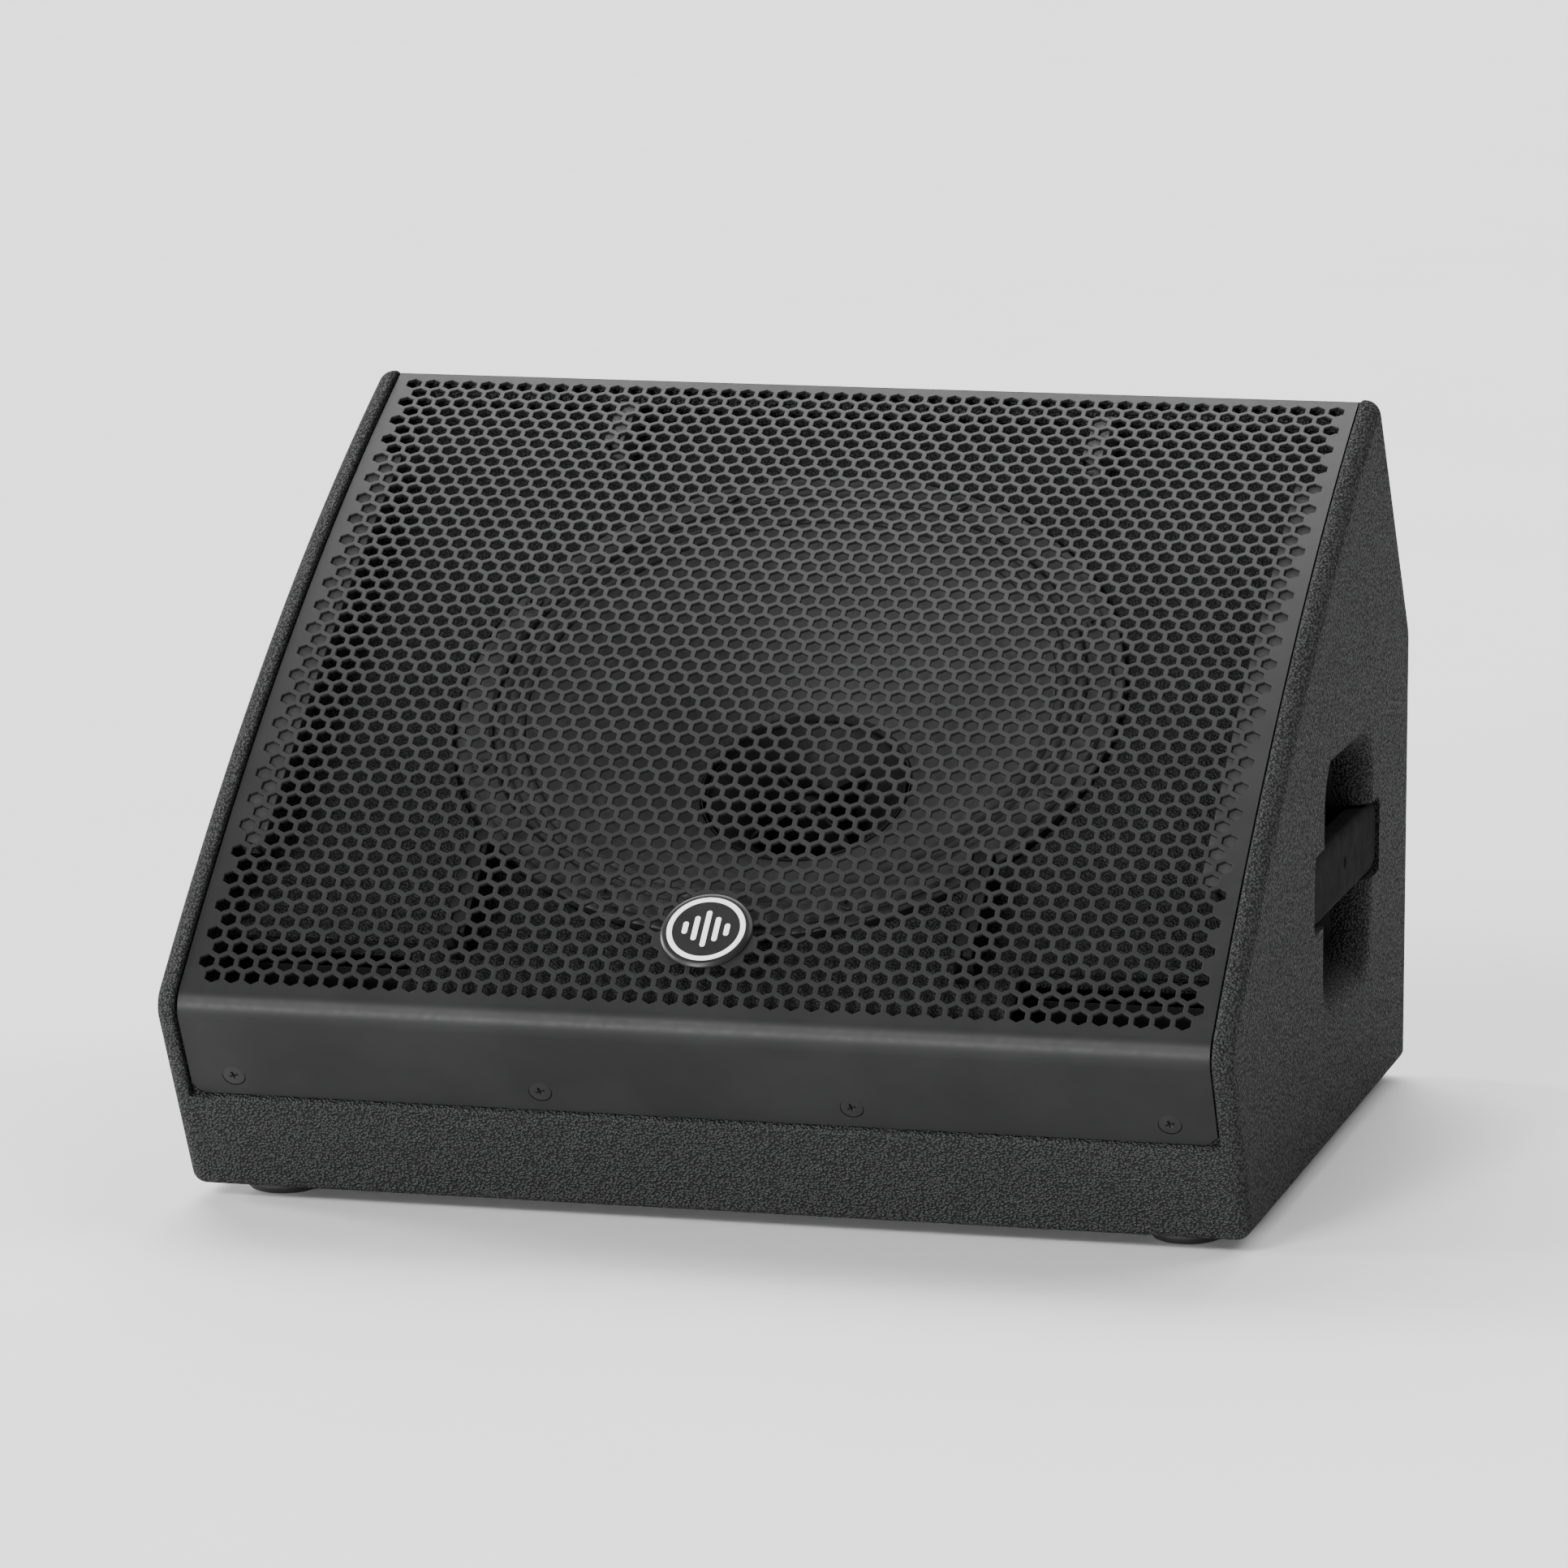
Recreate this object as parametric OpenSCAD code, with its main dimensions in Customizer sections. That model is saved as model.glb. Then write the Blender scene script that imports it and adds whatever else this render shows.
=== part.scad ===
// Stage monitor wedge: plywood cabinet, bent steel grille, coaxial 12 inch driver and a rear amplifier.
// Frame: +X to the right seen from the front, +Y to the rear, +Z up. Origin on the floor, centred.

/* [Cabinet] */
// Overall width across the side panels
cab_w = 506; // [490:1:540]
// Overall depth from the nose to the rear panel
cab_d = 467; // [460:1:490]
// Height of the cabinet above its feet
cab_h = 346.5; // [340:0.5:360]
// Thickness of a side panel
side_t = 18; // [16:1:20]
// Thickness of the other panels
panel_t = 15; // [12:1:16]
// Width of the side panel lip that frames the grille
lip_w = 9.5; // [8:0.5:11]
// How far the lip stands proud of the grille
lip_proud = 2.7; // [2:0.1:4]
// Radius of the crowned front face, at the lip
face_r = 1455; // [1300:5:1800]
// Radius of the rounded nose
nose_r = 15; // [13:1:18]
// Height of the nose's centre above the cabinet's underside
nose_h = 93.4; // [88:0.2:100]
// How far the lower front edge stands back from the nose
toe_back = 54.7; // [45:0.1:60]
// Height of the rear bend, where the back turns into the slope
bend_h = 214; // [205:1:225]
// How far the top edge stands forward of the rear panel
top_forward = 99.5; // [90:0.5:110]

/* [Grille] */
// Thickness of the grille sheet
grille_t = 1.5; // [1:0.1:2]
// Gap between the grille and each lip
grille_gap = 1.2; // [0.8:0.1:1.5]
// Height of the lower edge of the grille's flange, along the front panel
flange_low = 52.5; // [48:0.5:60]
// Distance of the outer screws from the centre
screw_out = 221; // [215:1:225]
// Distance of the inner screws from the centre
screw_in = 73.6; // [65:0.2:80]
// Height of the screws, along the front panel
screw_up = 63.5; // [60:0.5:70]

/* [Driver] */
// Outer diameter of the driver's frame
frame_d = 320; // [315:1:322]
// Outer diameter of the paper cone
cone_d = 254; // [250:1:256]
// Diameter of the horn's mouth at the centre of the cone
horn_d = 97; // [94:1:97]
// Depth of the baffle under the crown of the grille
baffle_drop = 31; // [30:0.5:34]

/* [Handle and pole socket] */
// Width and height of the handle pocket at the side panel's face
pocket_w = 136; // [130:1:140]
// Width of the handle bar
bar_w = 34.5; // [30:0.5:38]
// Length of the handle bar
bar_l = 173.5; // [168:0.5:178]
// Bore of the pole socket
pole_d = 35.5; // [35.2:0.1:36]

/* [Amplifier] */
// Width of the amplifier tray's opening
amp_w = 280; // [276:2:284]
// Height of the amplifier tray's opening
amp_h = 156; // [152:2:158]
// Depth of the tray under the rear face
tray_d = 24; // [23:0.5:25]

/* [Feet] */
// Height of a rubber foot
foot_h = 7; // [6:0.5:9]
// Diameter of a rubber foot
foot_d = 35; // [30:1:38]

/* [Hidden] */
$fn = 64;

// Small clearances
seam = 0.2;
front = -cab_d / 2;
rear = cab_d / 2;
floor_z = foot_h;
inner_w = cab_w - 2 * side_t;
half_in = inner_w / 2;

// Side outline in (y, z): five rounded corners and the crowned face
toe_r = 6;
top_r = 12;
bend_r = 20;
toe_c = [front + toe_back, floor_z + toe_r];
heel_c = [rear - toe_r, floor_z + toe_r];
bend_c = [rear - bend_r, floor_z + bend_h];
top_c = [rear - top_forward, floor_z + cab_h - top_r];
nose_c = [front + nose_r, floor_z + nose_h];

function dir(a) = [cos(a), sin(a)];
function angle_of(v) = atan2(v.y, v.x);
// Angle, from 0 to 360 degrees
function wrap(a) = a < 0 ? a + 360 : a;
// Outward normal's angle of the line that touches two circles, going round counterclockwise
function touch(c1, r1, c2, r2) =
    wrap(angle_of(c2 - c1) - 90 + asin((r1 - r2) / norm(c2 - c1)));
function arc(c, r, a0, a1, n) = [for (i = [0:n]) c + r * dir(a0 + (a1 - a0) * i / n)];
function reverse(p) = [for (i = [len(p) - 1:-1:0]) p[i]];
// Centre of the circle of radius r that passes at distances r - r1 and r - r2 from two points
function arc_centre(p1, r1, p2, r2, r) =
    let (d = norm(p2 - p1), a = r - r1, b = r - r2,
         x = (a * a - b * b + d * d) / (2 * d), h = sqrt(a * a - x * x),
         e = (p2 - p1) / d)
    p1 + x * e + h * [e.y, -e.x];

face_c = arc_centre(nose_c, nose_r, top_c, top_r, face_r);
a_top = wrap(angle_of(top_c - face_c));
a_nose = wrap(angle_of(nose_c - face_c));
a_front = touch(nose_c, nose_r, toe_c, toe_r);
a_slope = touch(bend_c, bend_r, top_c, top_r);
face_steps = 28;

outline = concat(
    arc(heel_c, toe_r, -90, 0, 5),
    arc(bend_c, bend_r, 0, a_slope, 5),
    arc(top_c, top_r, a_slope, a_top, 7),
    arc(face_c, face_r, a_top, a_nose, face_steps),
    arc(nose_c, nose_r, a_nose, a_front, 8),
    arc(toe_c, toe_r, a_front, 270, 4));

// Point on the front panel: u up from the toe's tangent point, inset from the outline
front_n = dir(a_front);
front_up = [front_n.y, -front_n.x];
function front_at(u, inset) = toe_c + (toe_r - inset) * front_n + u * front_up;
// Point on the rear slope: u down from the top's tangent point, inset from the outline
slope_n = dir(a_slope);
slope_down = [slope_n.y, -slope_n.x];
function slope_at(u, inset) = top_c + (top_r - inset) * slope_n + u * slope_down;
// Point that is inset from both the rear slope and the crowned face
function under_face(slope_inset, face_inset) =
    let (q = slope_at(0, slope_inset) - face_c, along = q * slope_down, r = face_r - face_inset)
    slope_at(-along - sqrt(along * along - q * q + r * r), slope_inset);

// The face frame: x across, y up the slope, z out of the face; zero on the grille's crown
grille_r = face_r - lip_proud;
a_mid = (a_top + a_nose) / 2;
face_0 = face_c + grille_r * dir(a_mid);
face_tilt = a_mid - 90;
function to_face(p) = [(p - face_0) * dir(face_tilt), (p - face_0) * dir(a_mid)];
module on_face() { translate([0, face_0.x, face_0.y]) rotate([face_tilt, 0, 0]) children(); }

// Front panel frame: x across, y up the panel, z out of it
front_tilt = a_front - 90;
module on_front(u, inset = 0) {
    p = front_at(u, inset);
    translate([0, p.x, p.y]) rotate([front_tilt, 0, 0]) children();
}

// A plate with the given (y, z) outline, from x0 to x1
module plate(x0, x1, points) {
    translate([x0, 0, 0]) rotate([90, 0, 90]) linear_extrude(x1 - x0) polygon(points);
}
module box(lo, hi) { translate(lo) cube(hi - lo); }
// A rod along +Y that starts at the point p
module rod_y(p, r, l) { translate(p) rotate([-90, 0, 0]) cylinder(r = r, h = l); }
// A rounded rectangle in the YZ plane, extruded along +X
module pocket_block(c, w, h, r, x0, x1) {
    translate([x0, c.x, c.y]) rotate([90, 0, 90]) linear_extrude(x1 - x0) difference() {
        square([w, h], center = true);
        for (sy = [-1, 1], sz = [-1, 1]) difference() {
            translate([sy * w / 2, sz * h / 2]) square(2 * r, center = true);
            translate([sy * (w / 2 - r), sz * (h / 2 - r)]) circle(r);
        }
    }
}
// A countersunk screw, head up at z = 0
module screw(head_r, shank_r, length) {
    difference() {
        union() {
            translate([0, 0, -0.4]) cylinder(r = head_r, h = 0.4);
            translate([0, 0, -2.4]) cylinder(r1 = shank_r, r2 = head_r, h = 2);
            translate([0, 0, -length]) cylinder(r = shank_r, h = length - 2.4);
        }
        for (a = [0, 90]) rotate(a) translate([-head_r * 0.55, -0.4, -1.4])
            cube([head_r * 1.1, 0.8, 1.4 + seam]);
    }
}

// Places that several pieces share
lip_in = cab_w / 2 - lip_w;
rabbet = 12.5;
grille_back = lip_proud + grille_t;
grille_half = lip_in - grille_gap;
a_end = a_top - 0.2;
// Rounded rear edge of the panels under the grille, and the rim inside it that carries the sheet
rim_r = 5;
rim_top = grille_back + 0.1;
rim_c = under_face(rim_r, rim_top + rim_r);
a_rim_back = wrap(angle_of(rim_c - face_c));
a_rim_in = a_top - 0.05;
baffle_t = 18;
baffle_top = 211;
port_top = -164;
port_in = 143;
panel_in = grille_back + panel_t;
baffle_low = to_face(front_at(84, panel_in)).x + 1.5;
bottom_in = floor_z + panel_t;
driver_s = 8;
screw_shank = 1.9;
handle_c = [61, floor_z + 128];
pocket_in = pocket_w - 28;
pocket_round = 30;
bar_c = [58.7, floor_z + 131.2];
bar_x = cab_w / 2 - 1.5;
bar_t = 11;
cup_x = 192;
pole_c = [34, floor_z + 145];
pole_depth = 82;
amp_c = floor_z + 115;
tray_y = rear - tray_d;
foot_x = 217;
foot_y = [-151, 200];

module side_panel(s) {
    mirror([s < 0 ? 1 : 0, 0, 0]) difference() {
        plate(half_in, cab_w / 2, outline);
        plate(half_in - 1, lip_in, concat(
            arc(face_c, face_r - rabbet, a_rim_in, a_nose, face_steps),
            [front_at(norm(nose_c - toe_c), grille_back), front_at(flange_low - 1.5, grille_back),
            front_at(flange_low - 1.5, -20), [front - 60, nose_c.y],
            face_c + (face_r + 60) * dir(a_nose), face_c + (face_r + 60) * dir(a_top - 3)],
            arc(rim_c, rim_r, a_slope, a_rim_back, 5),
            [face_c + (face_r - rim_top) * dir(a_rim_in)]));
    }
}

module side_panel_left() {
    color([0.045, 0.045, 0.05]) difference() {
        side_panel(-1);
        translate([-cab_w / 2 - 1, pole_c.x, pole_c.y]) rotate([0, 90, 0]) {
            cylinder(r = 45 + seam, h = 1 + 3);
            cylinder(r = 21 + seam, h = side_t + 2);
        }
        for (a = [45:90:315]) translate([-cab_w / 2, pole_c.x, pole_c.y]) rotate([0, 90, 0])
            rotate(a) translate([35, 0, 0]) cylinder(r = screw_shank, h = 14);
    }
}

module side_panel_right() {
    x_out = cab_w / 2;
    color([0.045, 0.045, 0.05]) difference() {
        side_panel(1);
        pocket_block(handle_c, pocket_in, pocket_in, pocket_round - 14, half_in - 1, x_out + 1);
        hull() {
            pocket_block(handle_c, pocket_in, pocket_in, pocket_round - 14, x_out - 14, x_out - 13.9);
            pocket_block(handle_c, pocket_w, pocket_w, pocket_round, x_out - 0.02, x_out + 0.5);
        }
        pocket_block(bar_c, bar_l + 3, bar_w + 3, 5, bar_x - bar_t, x_out + 1);
        handle_screw_places() translate([half_in - 1, 0, 0]) rotate([0, 90, 0])
            cylinder(r = screw_shank, h = side_t);
    }
}

module bottom_panel() {
    color([0.05, 0.05, 0.055]) difference() {
        intersection() {
            plate(-half_in, half_in, outline);
            box([-half_in, front, floor_z - 1], [half_in, rear + 1, bottom_in]);
        }
        for (x = [-1, 1], y = foot_y) translate([x * foot_x, y, floor_z - 1])
            cylinder(r = screw_shank, h = 12);
    }
}

module front_panel() {
    color([0.05, 0.05, 0.055]) difference() {
        intersection() {
            plate(-half_in, half_in, [front_at(-20, 0), front_at(flange_low - 1.5, 0),
                front_at(flange_low - 1.5, grille_back), front_at(90, grille_back),
                front_at(90, panel_in), front_at(-20, panel_in)]);
            box([-half_in, front, bottom_in], [half_in, 0, cab_h]);
        }
        for (x = [-screw_out, -screw_in, screw_in, screw_out]) translate([x, 0, 0])
            on_front(screw_up, grille_back) {
                translate([0, 0, -12]) cylinder(r = screw_shank, h = 13);
                translate([0, 0, -1.3]) cylinder(r = 4, h = 3);
            }
    }
}

module baffle() {
    color([0.04, 0.04, 0.045]) on_face() difference() {
        translate([-half_in, baffle_low, -baffle_drop - baffle_t])
            cube([inner_w, baffle_top - baffle_low, baffle_t]);
        for (s = [-1, 1]) translate([s > 0 ? port_in : -half_in - 1, baffle_low - 1, -baffle_drop - baffle_t - 1])
            cube([half_in - port_in + 1, port_top - baffle_low + 1, baffle_t + 2]);
        translate([0, driver_s, -baffle_drop - baffle_t - 1]) cylinder(r = 142, h = baffle_t + 2);
        translate([0, driver_s, -baffle_drop - 3]) cylinder(r = frame_d / 2 + 2.5, h = 4);
        for (a = [22.5:45:359]) translate([0, driver_s, -baffle_drop - 15]) rotate(a)
            translate([150, 0, 0]) cylinder(r = screw_shank, h = 20);
    }
}

// Inner corner of the mitre between the rear panel and the slope panel
a_mitre = a_slope / 2;
mitre_in = bend_c + (bend_r - panel_t) / cos(a_mitre) * dir(a_mitre);
module slope_panel() {
    color([0.05, 0.05, 0.055]) plate(-half_in, half_in, concat(
        [mitre_in + [0, seam]],
        arc(bend_c, bend_r, a_mitre + 0.5, a_slope, 3),
        arc(rim_c, rim_r, a_slope, a_rim_back, 5),
        [face_c + (face_r - rim_top) * dir(a_rim_in), face_c + (face_r - rabbet) * dir(a_rim_in),
        under_face(panel_t, rabbet)]));
}

module rear_panel() {
    color([0.05, 0.05, 0.055]) difference() {
        plate(-half_in, half_in, concat([[rear - panel_t, bottom_in], [rear, bottom_in]],
            arc(bend_c, bend_r, 0, a_mitre - 0.5, 3), [mitre_in - [0, seam]]));
        box([-amp_w / 2, 0, amp_c - amp_h / 2], [amp_w / 2, rear + 1, amp_c + amp_h / 2]);
        box([-amp_w / 2 - 11, rear - 3, amp_c - amp_h / 2 - 11],
            [amp_w / 2 + 11, rear + 1, amp_c + amp_h / 2 + 11]);
        amp_screw_places() rod_y([0, rear - 14, 0], screw_shank, 14);
    }
}

module amp_screw_places() {
    for (x = [-1, 0, 1], z = [-1, 1])
        translate([x * (amp_w / 2 - 6), 0, amp_c + z * (amp_h / 2 + 5.5)]) children();
}

module top_rail() {
    color([0.04, 0.04, 0.045]) on_face()
        translate([-half_in, baffle_top - 20, -baffle_drop - baffle_t - 24]) cube([inner_w, 20, 24]);
}

module brace() {
    color([0.72, 0.58, 0.4]) difference() {
        box([-half_in, 112, bottom_in], [half_in, 124, bottom_in + 45]);
        for (s = [-1, 1]) box([s * 115 - 70, 111, bottom_in + 13], [s * 115 + 70, 125, bottom_in + 32]);
    }
}

module port_duct(s) {
    w = half_in - port_in;
    wall = 5;
    top = -baffle_drop - baffle_t;
    low = baffle_low + 2;
    translate([s > 0 ? port_in : -half_in, 0, 0]) difference() {
        translate([0, low, top - 50]) cube([w, port_top + wall - low, 50]);
        translate([wall, low + wall, top - 51]) cube([w - 2 * wall, port_top - low - wall, 52]);
    }
}
module port_duct_left() { color([0.1, 0.1, 0.1]) on_face() port_duct(-1); }
module port_duct_right() { color([0.1, 0.1, 0.1]) on_face() port_duct(1); }

module grille() {
    function skin(inset) = concat(arc(face_c, face_r - inset, a_end, a_nose, face_steps),
        arc(nose_c, nose_r - inset, a_nose, a_front, 8), [front_at(flange_low, inset)]);
    color([0.13, 0.13, 0.135]) difference() {
        plate(-grille_half, grille_half, concat(skin(lip_proud), reverse(skin(grille_back))));
        grille_screw_places() translate([0, 0, -5]) cylinder(r = 5.6, h = 10);
    }
}
module grille_screw_places() {
    for (x = [-screw_out, -screw_in, screw_in, screw_out])
        translate([x, 0, 0]) on_front(screw_up, lip_proud) children();
}
module grille_screws() {
    color([0.1, 0.1, 0.1]) grille_screw_places() screw(5.4, screw_shank - 0.1, 12);
}

// Angle about the face's centre at distance s up the face
function a_face(s) = a_mid - asin(s / grille_r);
function face_at(s, h) = face_0 + s * dir(face_tilt) + h * dir(a_mid);
strip_top = 150;
strip_low = -127;
strip_in = 223;
module grille_strips() {
    color([0.16, 0.16, 0.165]) for (s = [-1, 1])
        plate(s > 0 ? strip_in : 0.3 - lip_in, s > 0 ? lip_in - 0.3 : -strip_in, concat(
            arc(face_c, face_r - grille_back - 0.1, a_face(strip_top), a_face(strip_low), 16),
            arc(face_c, face_r - rabbet + 0.1, a_face(strip_low), a_face(strip_top), 16)));
}

// A pad between the baffle and the grille, from s0 to s1 up the face
module grille_pad(x, s0, s1) {
    plate(x - 5, x + 5, concat(arc(face_c, face_r - grille_back - 0.3, a_face(s1), a_face(s0), 6),
        [face_at(s0, -baffle_drop), face_at(s1, -baffle_drop)]));
}
module grille_pads_upper() {
    color([0.3, 0.3, 0.3]) for (x = [-120, 120]) grille_pad(x, 167, 204);
}
module grille_pads_lower() {
    color([0.12, 0.12, 0.12]) for (x = [-120, 120]) grille_pad(x, -174, -112);
}

module badge() {
    a_badge = a_mid + 169 / grille_r * 180 / PI;
    p = face_c + grille_r * dir(a_badge);
    translate([0, p.x, p.y]) rotate([a_badge - 90, 0, 0]) {
        color([0.05, 0.05, 0.05]) difference() {
            translate([0, 0, 0.3]) cylinder(r = 21.5, h = 1.8);
            translate([0, 0, 1.5]) difference() {
                cylinder(r = 18.4, h = 2);
                translate([0, 0, -1]) cylinder(r = 16, h = 4);
            }
        }
    }
}

module handle_cup() {
    color([0.05, 0.05, 0.055]) difference() {
        pocket_block(handle_c, pocket_in + 22, pocket_in + 22, 12, cup_x - 5, half_in);
        pocket_block(handle_c, pocket_in, pocket_in, 16, cup_x, half_in + 1);
    }
}

module handle_bar() {
    color([0.06, 0.06, 0.06]) difference() {
        union() {
            pocket_block(bar_c, bar_l, bar_w, 4, bar_x - bar_t + 0.2, bar_x - 3);
            pocket_block(bar_c, bar_l - 2, bar_w - 4, 3, bar_x - 3, bar_x);
        }
        handle_screw_places() translate([bar_x - bar_t - 1, 0, 0]) rotate([0, 90, 0])
            cylinder(r = screw_shank, h = 8);
    }
}
module handle_screw_places() {
    for (y = [-1, 1]) translate([0, bar_c.x + y * (bar_l / 2 - 10), bar_c.y]) children();
}
module handle_screws() {
    color([0.3, 0.3, 0.3]) handle_screw_places() translate([half_in, 0, 0]) rotate([0, 90, 0]) {
        translate([0, 0, -2.4]) cylinder(r = 4.5, h = 2.4);
        translate([0, 0, -1]) cylinder(r = screw_shank - 0.1, h = 12.5);
    }
}

module foot() {
    difference() {
        union() {
            cylinder(r1 = foot_d / 2 - 2, r2 = foot_d / 2 - 0.5, h = 2);
            translate([0, 0, 2]) cylinder(r = foot_d / 2, h = foot_h - 2);
        }
        translate([0, 0, -1]) cylinder(r = 6, h = 4);
        cylinder(r = 2.1, h = foot_h + 1);
    }
}
module feet_front() {
    color([0.05, 0.05, 0.05]) for (x = [-1, 1]) translate([x * foot_x, foot_y[0], 0]) foot();
}
module feet_rear() {
    color([0.05, 0.05, 0.05]) for (x = [-1, 1]) translate([x * foot_x, foot_y[1], 0]) foot();
}
module foot_screws() {
    color([0.6, 0.6, 0.6]) for (x = [-1, 1], y = foot_y)
        translate([x * foot_x, y, 0.6]) rotate([180, 0, 0]) screw(4.8, screw_shank - 0.1, 13);
}

module pole_socket() {
    color([0.12, 0.12, 0.12]) translate([-cab_w / 2, pole_c.x, pole_c.y]) rotate([0, 90, 0])
        difference() {
            union() {
                cylinder(r = 45, h = 3);
                cylinder(r = 21, h = pole_depth + 4);
            }
            translate([0, 0, -1]) cylinder(r = pole_d / 2, h = pole_depth + 1);
            for (a = [45:90:315]) rotate(a) translate([35, 0, -1]) {
                cylinder(r = 2.2, h = 5);
                cylinder(r = 4.4, h = 3.6);
            }
        }
}
module pole_socket_screws() {
    color([0.3, 0.3, 0.3]) translate([-cab_w / 2, pole_c.x, pole_c.y]) rotate([0, -90, 0])
        for (a = [45:90:315]) rotate(a) translate([35, 0, -0.3]) screw(4.1, screw_shank - 0.1, 12);
}

// Driver: heights below are along the driver's axis, zero on the baffle's face
module on_driver() { on_face() translate([0, driver_s, -baffle_drop]) children(); }
frame_r = frame_d / 2;
cone_r = cone_d / 2;
coil_r = 50.3;
plate_top = -79;
plate_h = 10;
magnet_h = 20;
yoke_h = 12;
magnet_top = plate_top - plate_h;
yoke_back = magnet_top - magnet_h - yoke_h;
basket_t = 3;

module driver_frame() {
    color([0.09, 0.09, 0.1]) on_driver() difference() {
        rotate_extrude($fn = 96) polygon([[frame_r, -3], [frame_r, 2.5], [142, 2.5], [142, 0], [136, 0],
            [134, -8], [98, -58], [98, plate_top + basket_t], [88, plate_top + basket_t], [88, plate_top],
            [101, plate_top], [101, -60], [139, -6], [139, -3]]);
        for (a = [22.5:45:359]) rotate(a) translate([150, 0, -4]) cylinder(r = 2.6, h = 8);
        for (a = [0:45:359]) rotate(a) translate([60, -22, -66]) cube([90, 44, 52]);
    }
}
module driver_gasket() {
    color([0.07, 0.07, 0.07]) on_driver() translate([0, 0, 2.6]) difference() {
        cylinder(r = frame_r - 5, h = 2.4);
        translate([0, 0, -1]) cylinder(r = 143, h = 5);
        for (a = [22.5:45:359]) rotate(a) translate([150, 0, -1]) cylinder(r = 6, h = 5);
    }
}
module driver_screws() {
    color([0.15, 0.15, 0.15]) on_driver() for (a = [22.5:45:359]) rotate(a) translate([150, 0, 2.6])
        difference() {
            union() {
                cylinder(r = 4.2, h = 3.6);
                translate([0, 0, -15]) cylinder(r = screw_shank - 0.1, h = 15);
            }
            translate([0, 0, 1.6]) cylinder(r = 2.3, h = 3, $fn = 6);
        }
}
module surround() {
    rolls = 3;
    r0 = cone_r + 0.5;
    r1 = 142;
    steps = 30;
    thick = 0.8;
    function wave(t) = 1.8 * abs(sin(180 * rolls * t)) + 0.2;
    color([0.05, 0.05, 0.05]) on_driver() rotate_extrude($fn = 96) polygon(concat(
        [for (i = [0:steps]) [r0 + (r1 - r0) * i / steps, wave(i / steps) + thick]],
        [for (i = [steps:-1:0]) [r0 + (r1 - r0) * i / steps, wave(i / steps)]]));
}
module cone() {
    neck_z = -56;
    bulge = 4;
    steps = 10;
    thick = 1;
    function curve(t) = neck_z * (1 - t) - 0.5 + bulge * sin(180 * t);
    function radius(t) = coil_r + 1 + (cone_r - coil_r - 1) * t;
    color([0.06, 0.06, 0.06]) on_driver() rotate_extrude($fn = 96) polygon(concat(
        [for (i = [0:steps]) [radius(i / steps), curve(i / steps) + thick]],
        [for (i = [steps:-1:0]) [radius(i / steps), curve(i / steps)]]));
}
module voice_coil() {
    color([0.7, 0.4, 0.2]) on_driver() rotate_extrude($fn = 96) polygon([[coil_r, plate_top - 11],
        [coil_r + 1.8, plate_top - 11], [coil_r + 1.8, plate_top + 5], [coil_r + 1, plate_top + 5],
        [coil_r + 1, -54.6], [coil_r, -54.6]]);
}
module spider() {
    rolls = 5;
    steps = 30;
    r0 = coil_r + 1.1;
    r1 = 96;
    z = plate_top + 16;
    color([0.75, 0.6, 0.3]) on_driver() rotate_extrude($fn = 96) polygon(concat(
        [for (i = [0:steps]) [r0 + (r1 - r0) * i / steps, z + 0.8 + 1.5 * sin(360 * rolls * i / steps)]],
        [for (i = [steps:-1:0]) [r0 + (r1 - r0) * i / steps, z + 1.5 * sin(360 * rolls * i / steps)]]));
}
module ring(r_out, r_in, z, h) {
    translate([0, 0, z]) difference() {
        cylinder(r = r_out, h = h);
        translate([0, 0, -1]) cylinder(r = r_in, h = h + 2);
    }
}
module top_plate() {
    color([0.5, 0.5, 0.52]) on_driver() ring(98, coil_r + 2.6, magnet_top, plate_h);
}
module magnet() {
    color([0.1, 0.1, 0.1]) on_driver() ring(104, 66, magnet_top - magnet_h, magnet_h);
}
module pole_piece() {
    color([0.5, 0.5, 0.52]) on_driver() difference() {
        union() {
            translate([0, 0, yoke_back]) cylinder(r = 96, h = yoke_h);
            translate([0, 0, yoke_back]) cylinder(r = coil_r - 1, h = plate_top + 1 - yoke_back);
        }
        translate([0, 0, yoke_back - 1]) cylinder(r = 40, h = 200);
    }
}
module hf_horn() {
    mouth = horn_d / 2;
    color([0.04, 0.04, 0.04]) on_driver() rotate_extrude($fn = 96) polygon([[18, yoke_back],
        [39.8, yoke_back], [39.8, plate_top + 1.2], [mouth, plate_top + 4], [mouth + 0.6, -57],
        [mouth - 0.8, -57], [mouth - 1.5, plate_top + 6], [38, plate_top]]);
}
module hf_driver() {
    color([0.13, 0.13, 0.14]) on_driver() {
        translate([0, 0, yoke_back - 40]) cylinder(r = 45, h = 40);
        translate([0, 0, yoke_back - 46]) cylinder(r = 30, h = 6);
    }
}

// Amplifier: a tray let into the rear panel, its floor at tray_y
floor_t = 2.5;
module amp_tray() {
    wall = 2;
    z0 = amp_c - amp_h / 2;
    z1 = amp_c + amp_h / 2;
    color([0.1, 0.1, 0.105]) difference() {
        union() {
            box([-amp_w / 2 - 10.6, rear - 2.9, z0 - 10.6], [amp_w / 2 + 10.6, rear - 0.4, z1 + 10.6]);
            box([-amp_w / 2 + 0.5, tray_y - floor_t, z0 + 0.5], [amp_w / 2 - 0.5, rear - 2, z1 - 0.5]);
        }
        box([-amp_w / 2 + 0.5 + wall, tray_y - 20, z0 + 0.5 + wall],
            [amp_w / 2 - 0.5 - wall, rear + 1, z1 - 0.5 - wall]);
        amp_screw_places() {
            rod_y([0, rear - 5, 0], 2.2, 8);
            rod_y([0, rear - 2, 0], 4.1, 3);
        }
    }
}
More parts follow.
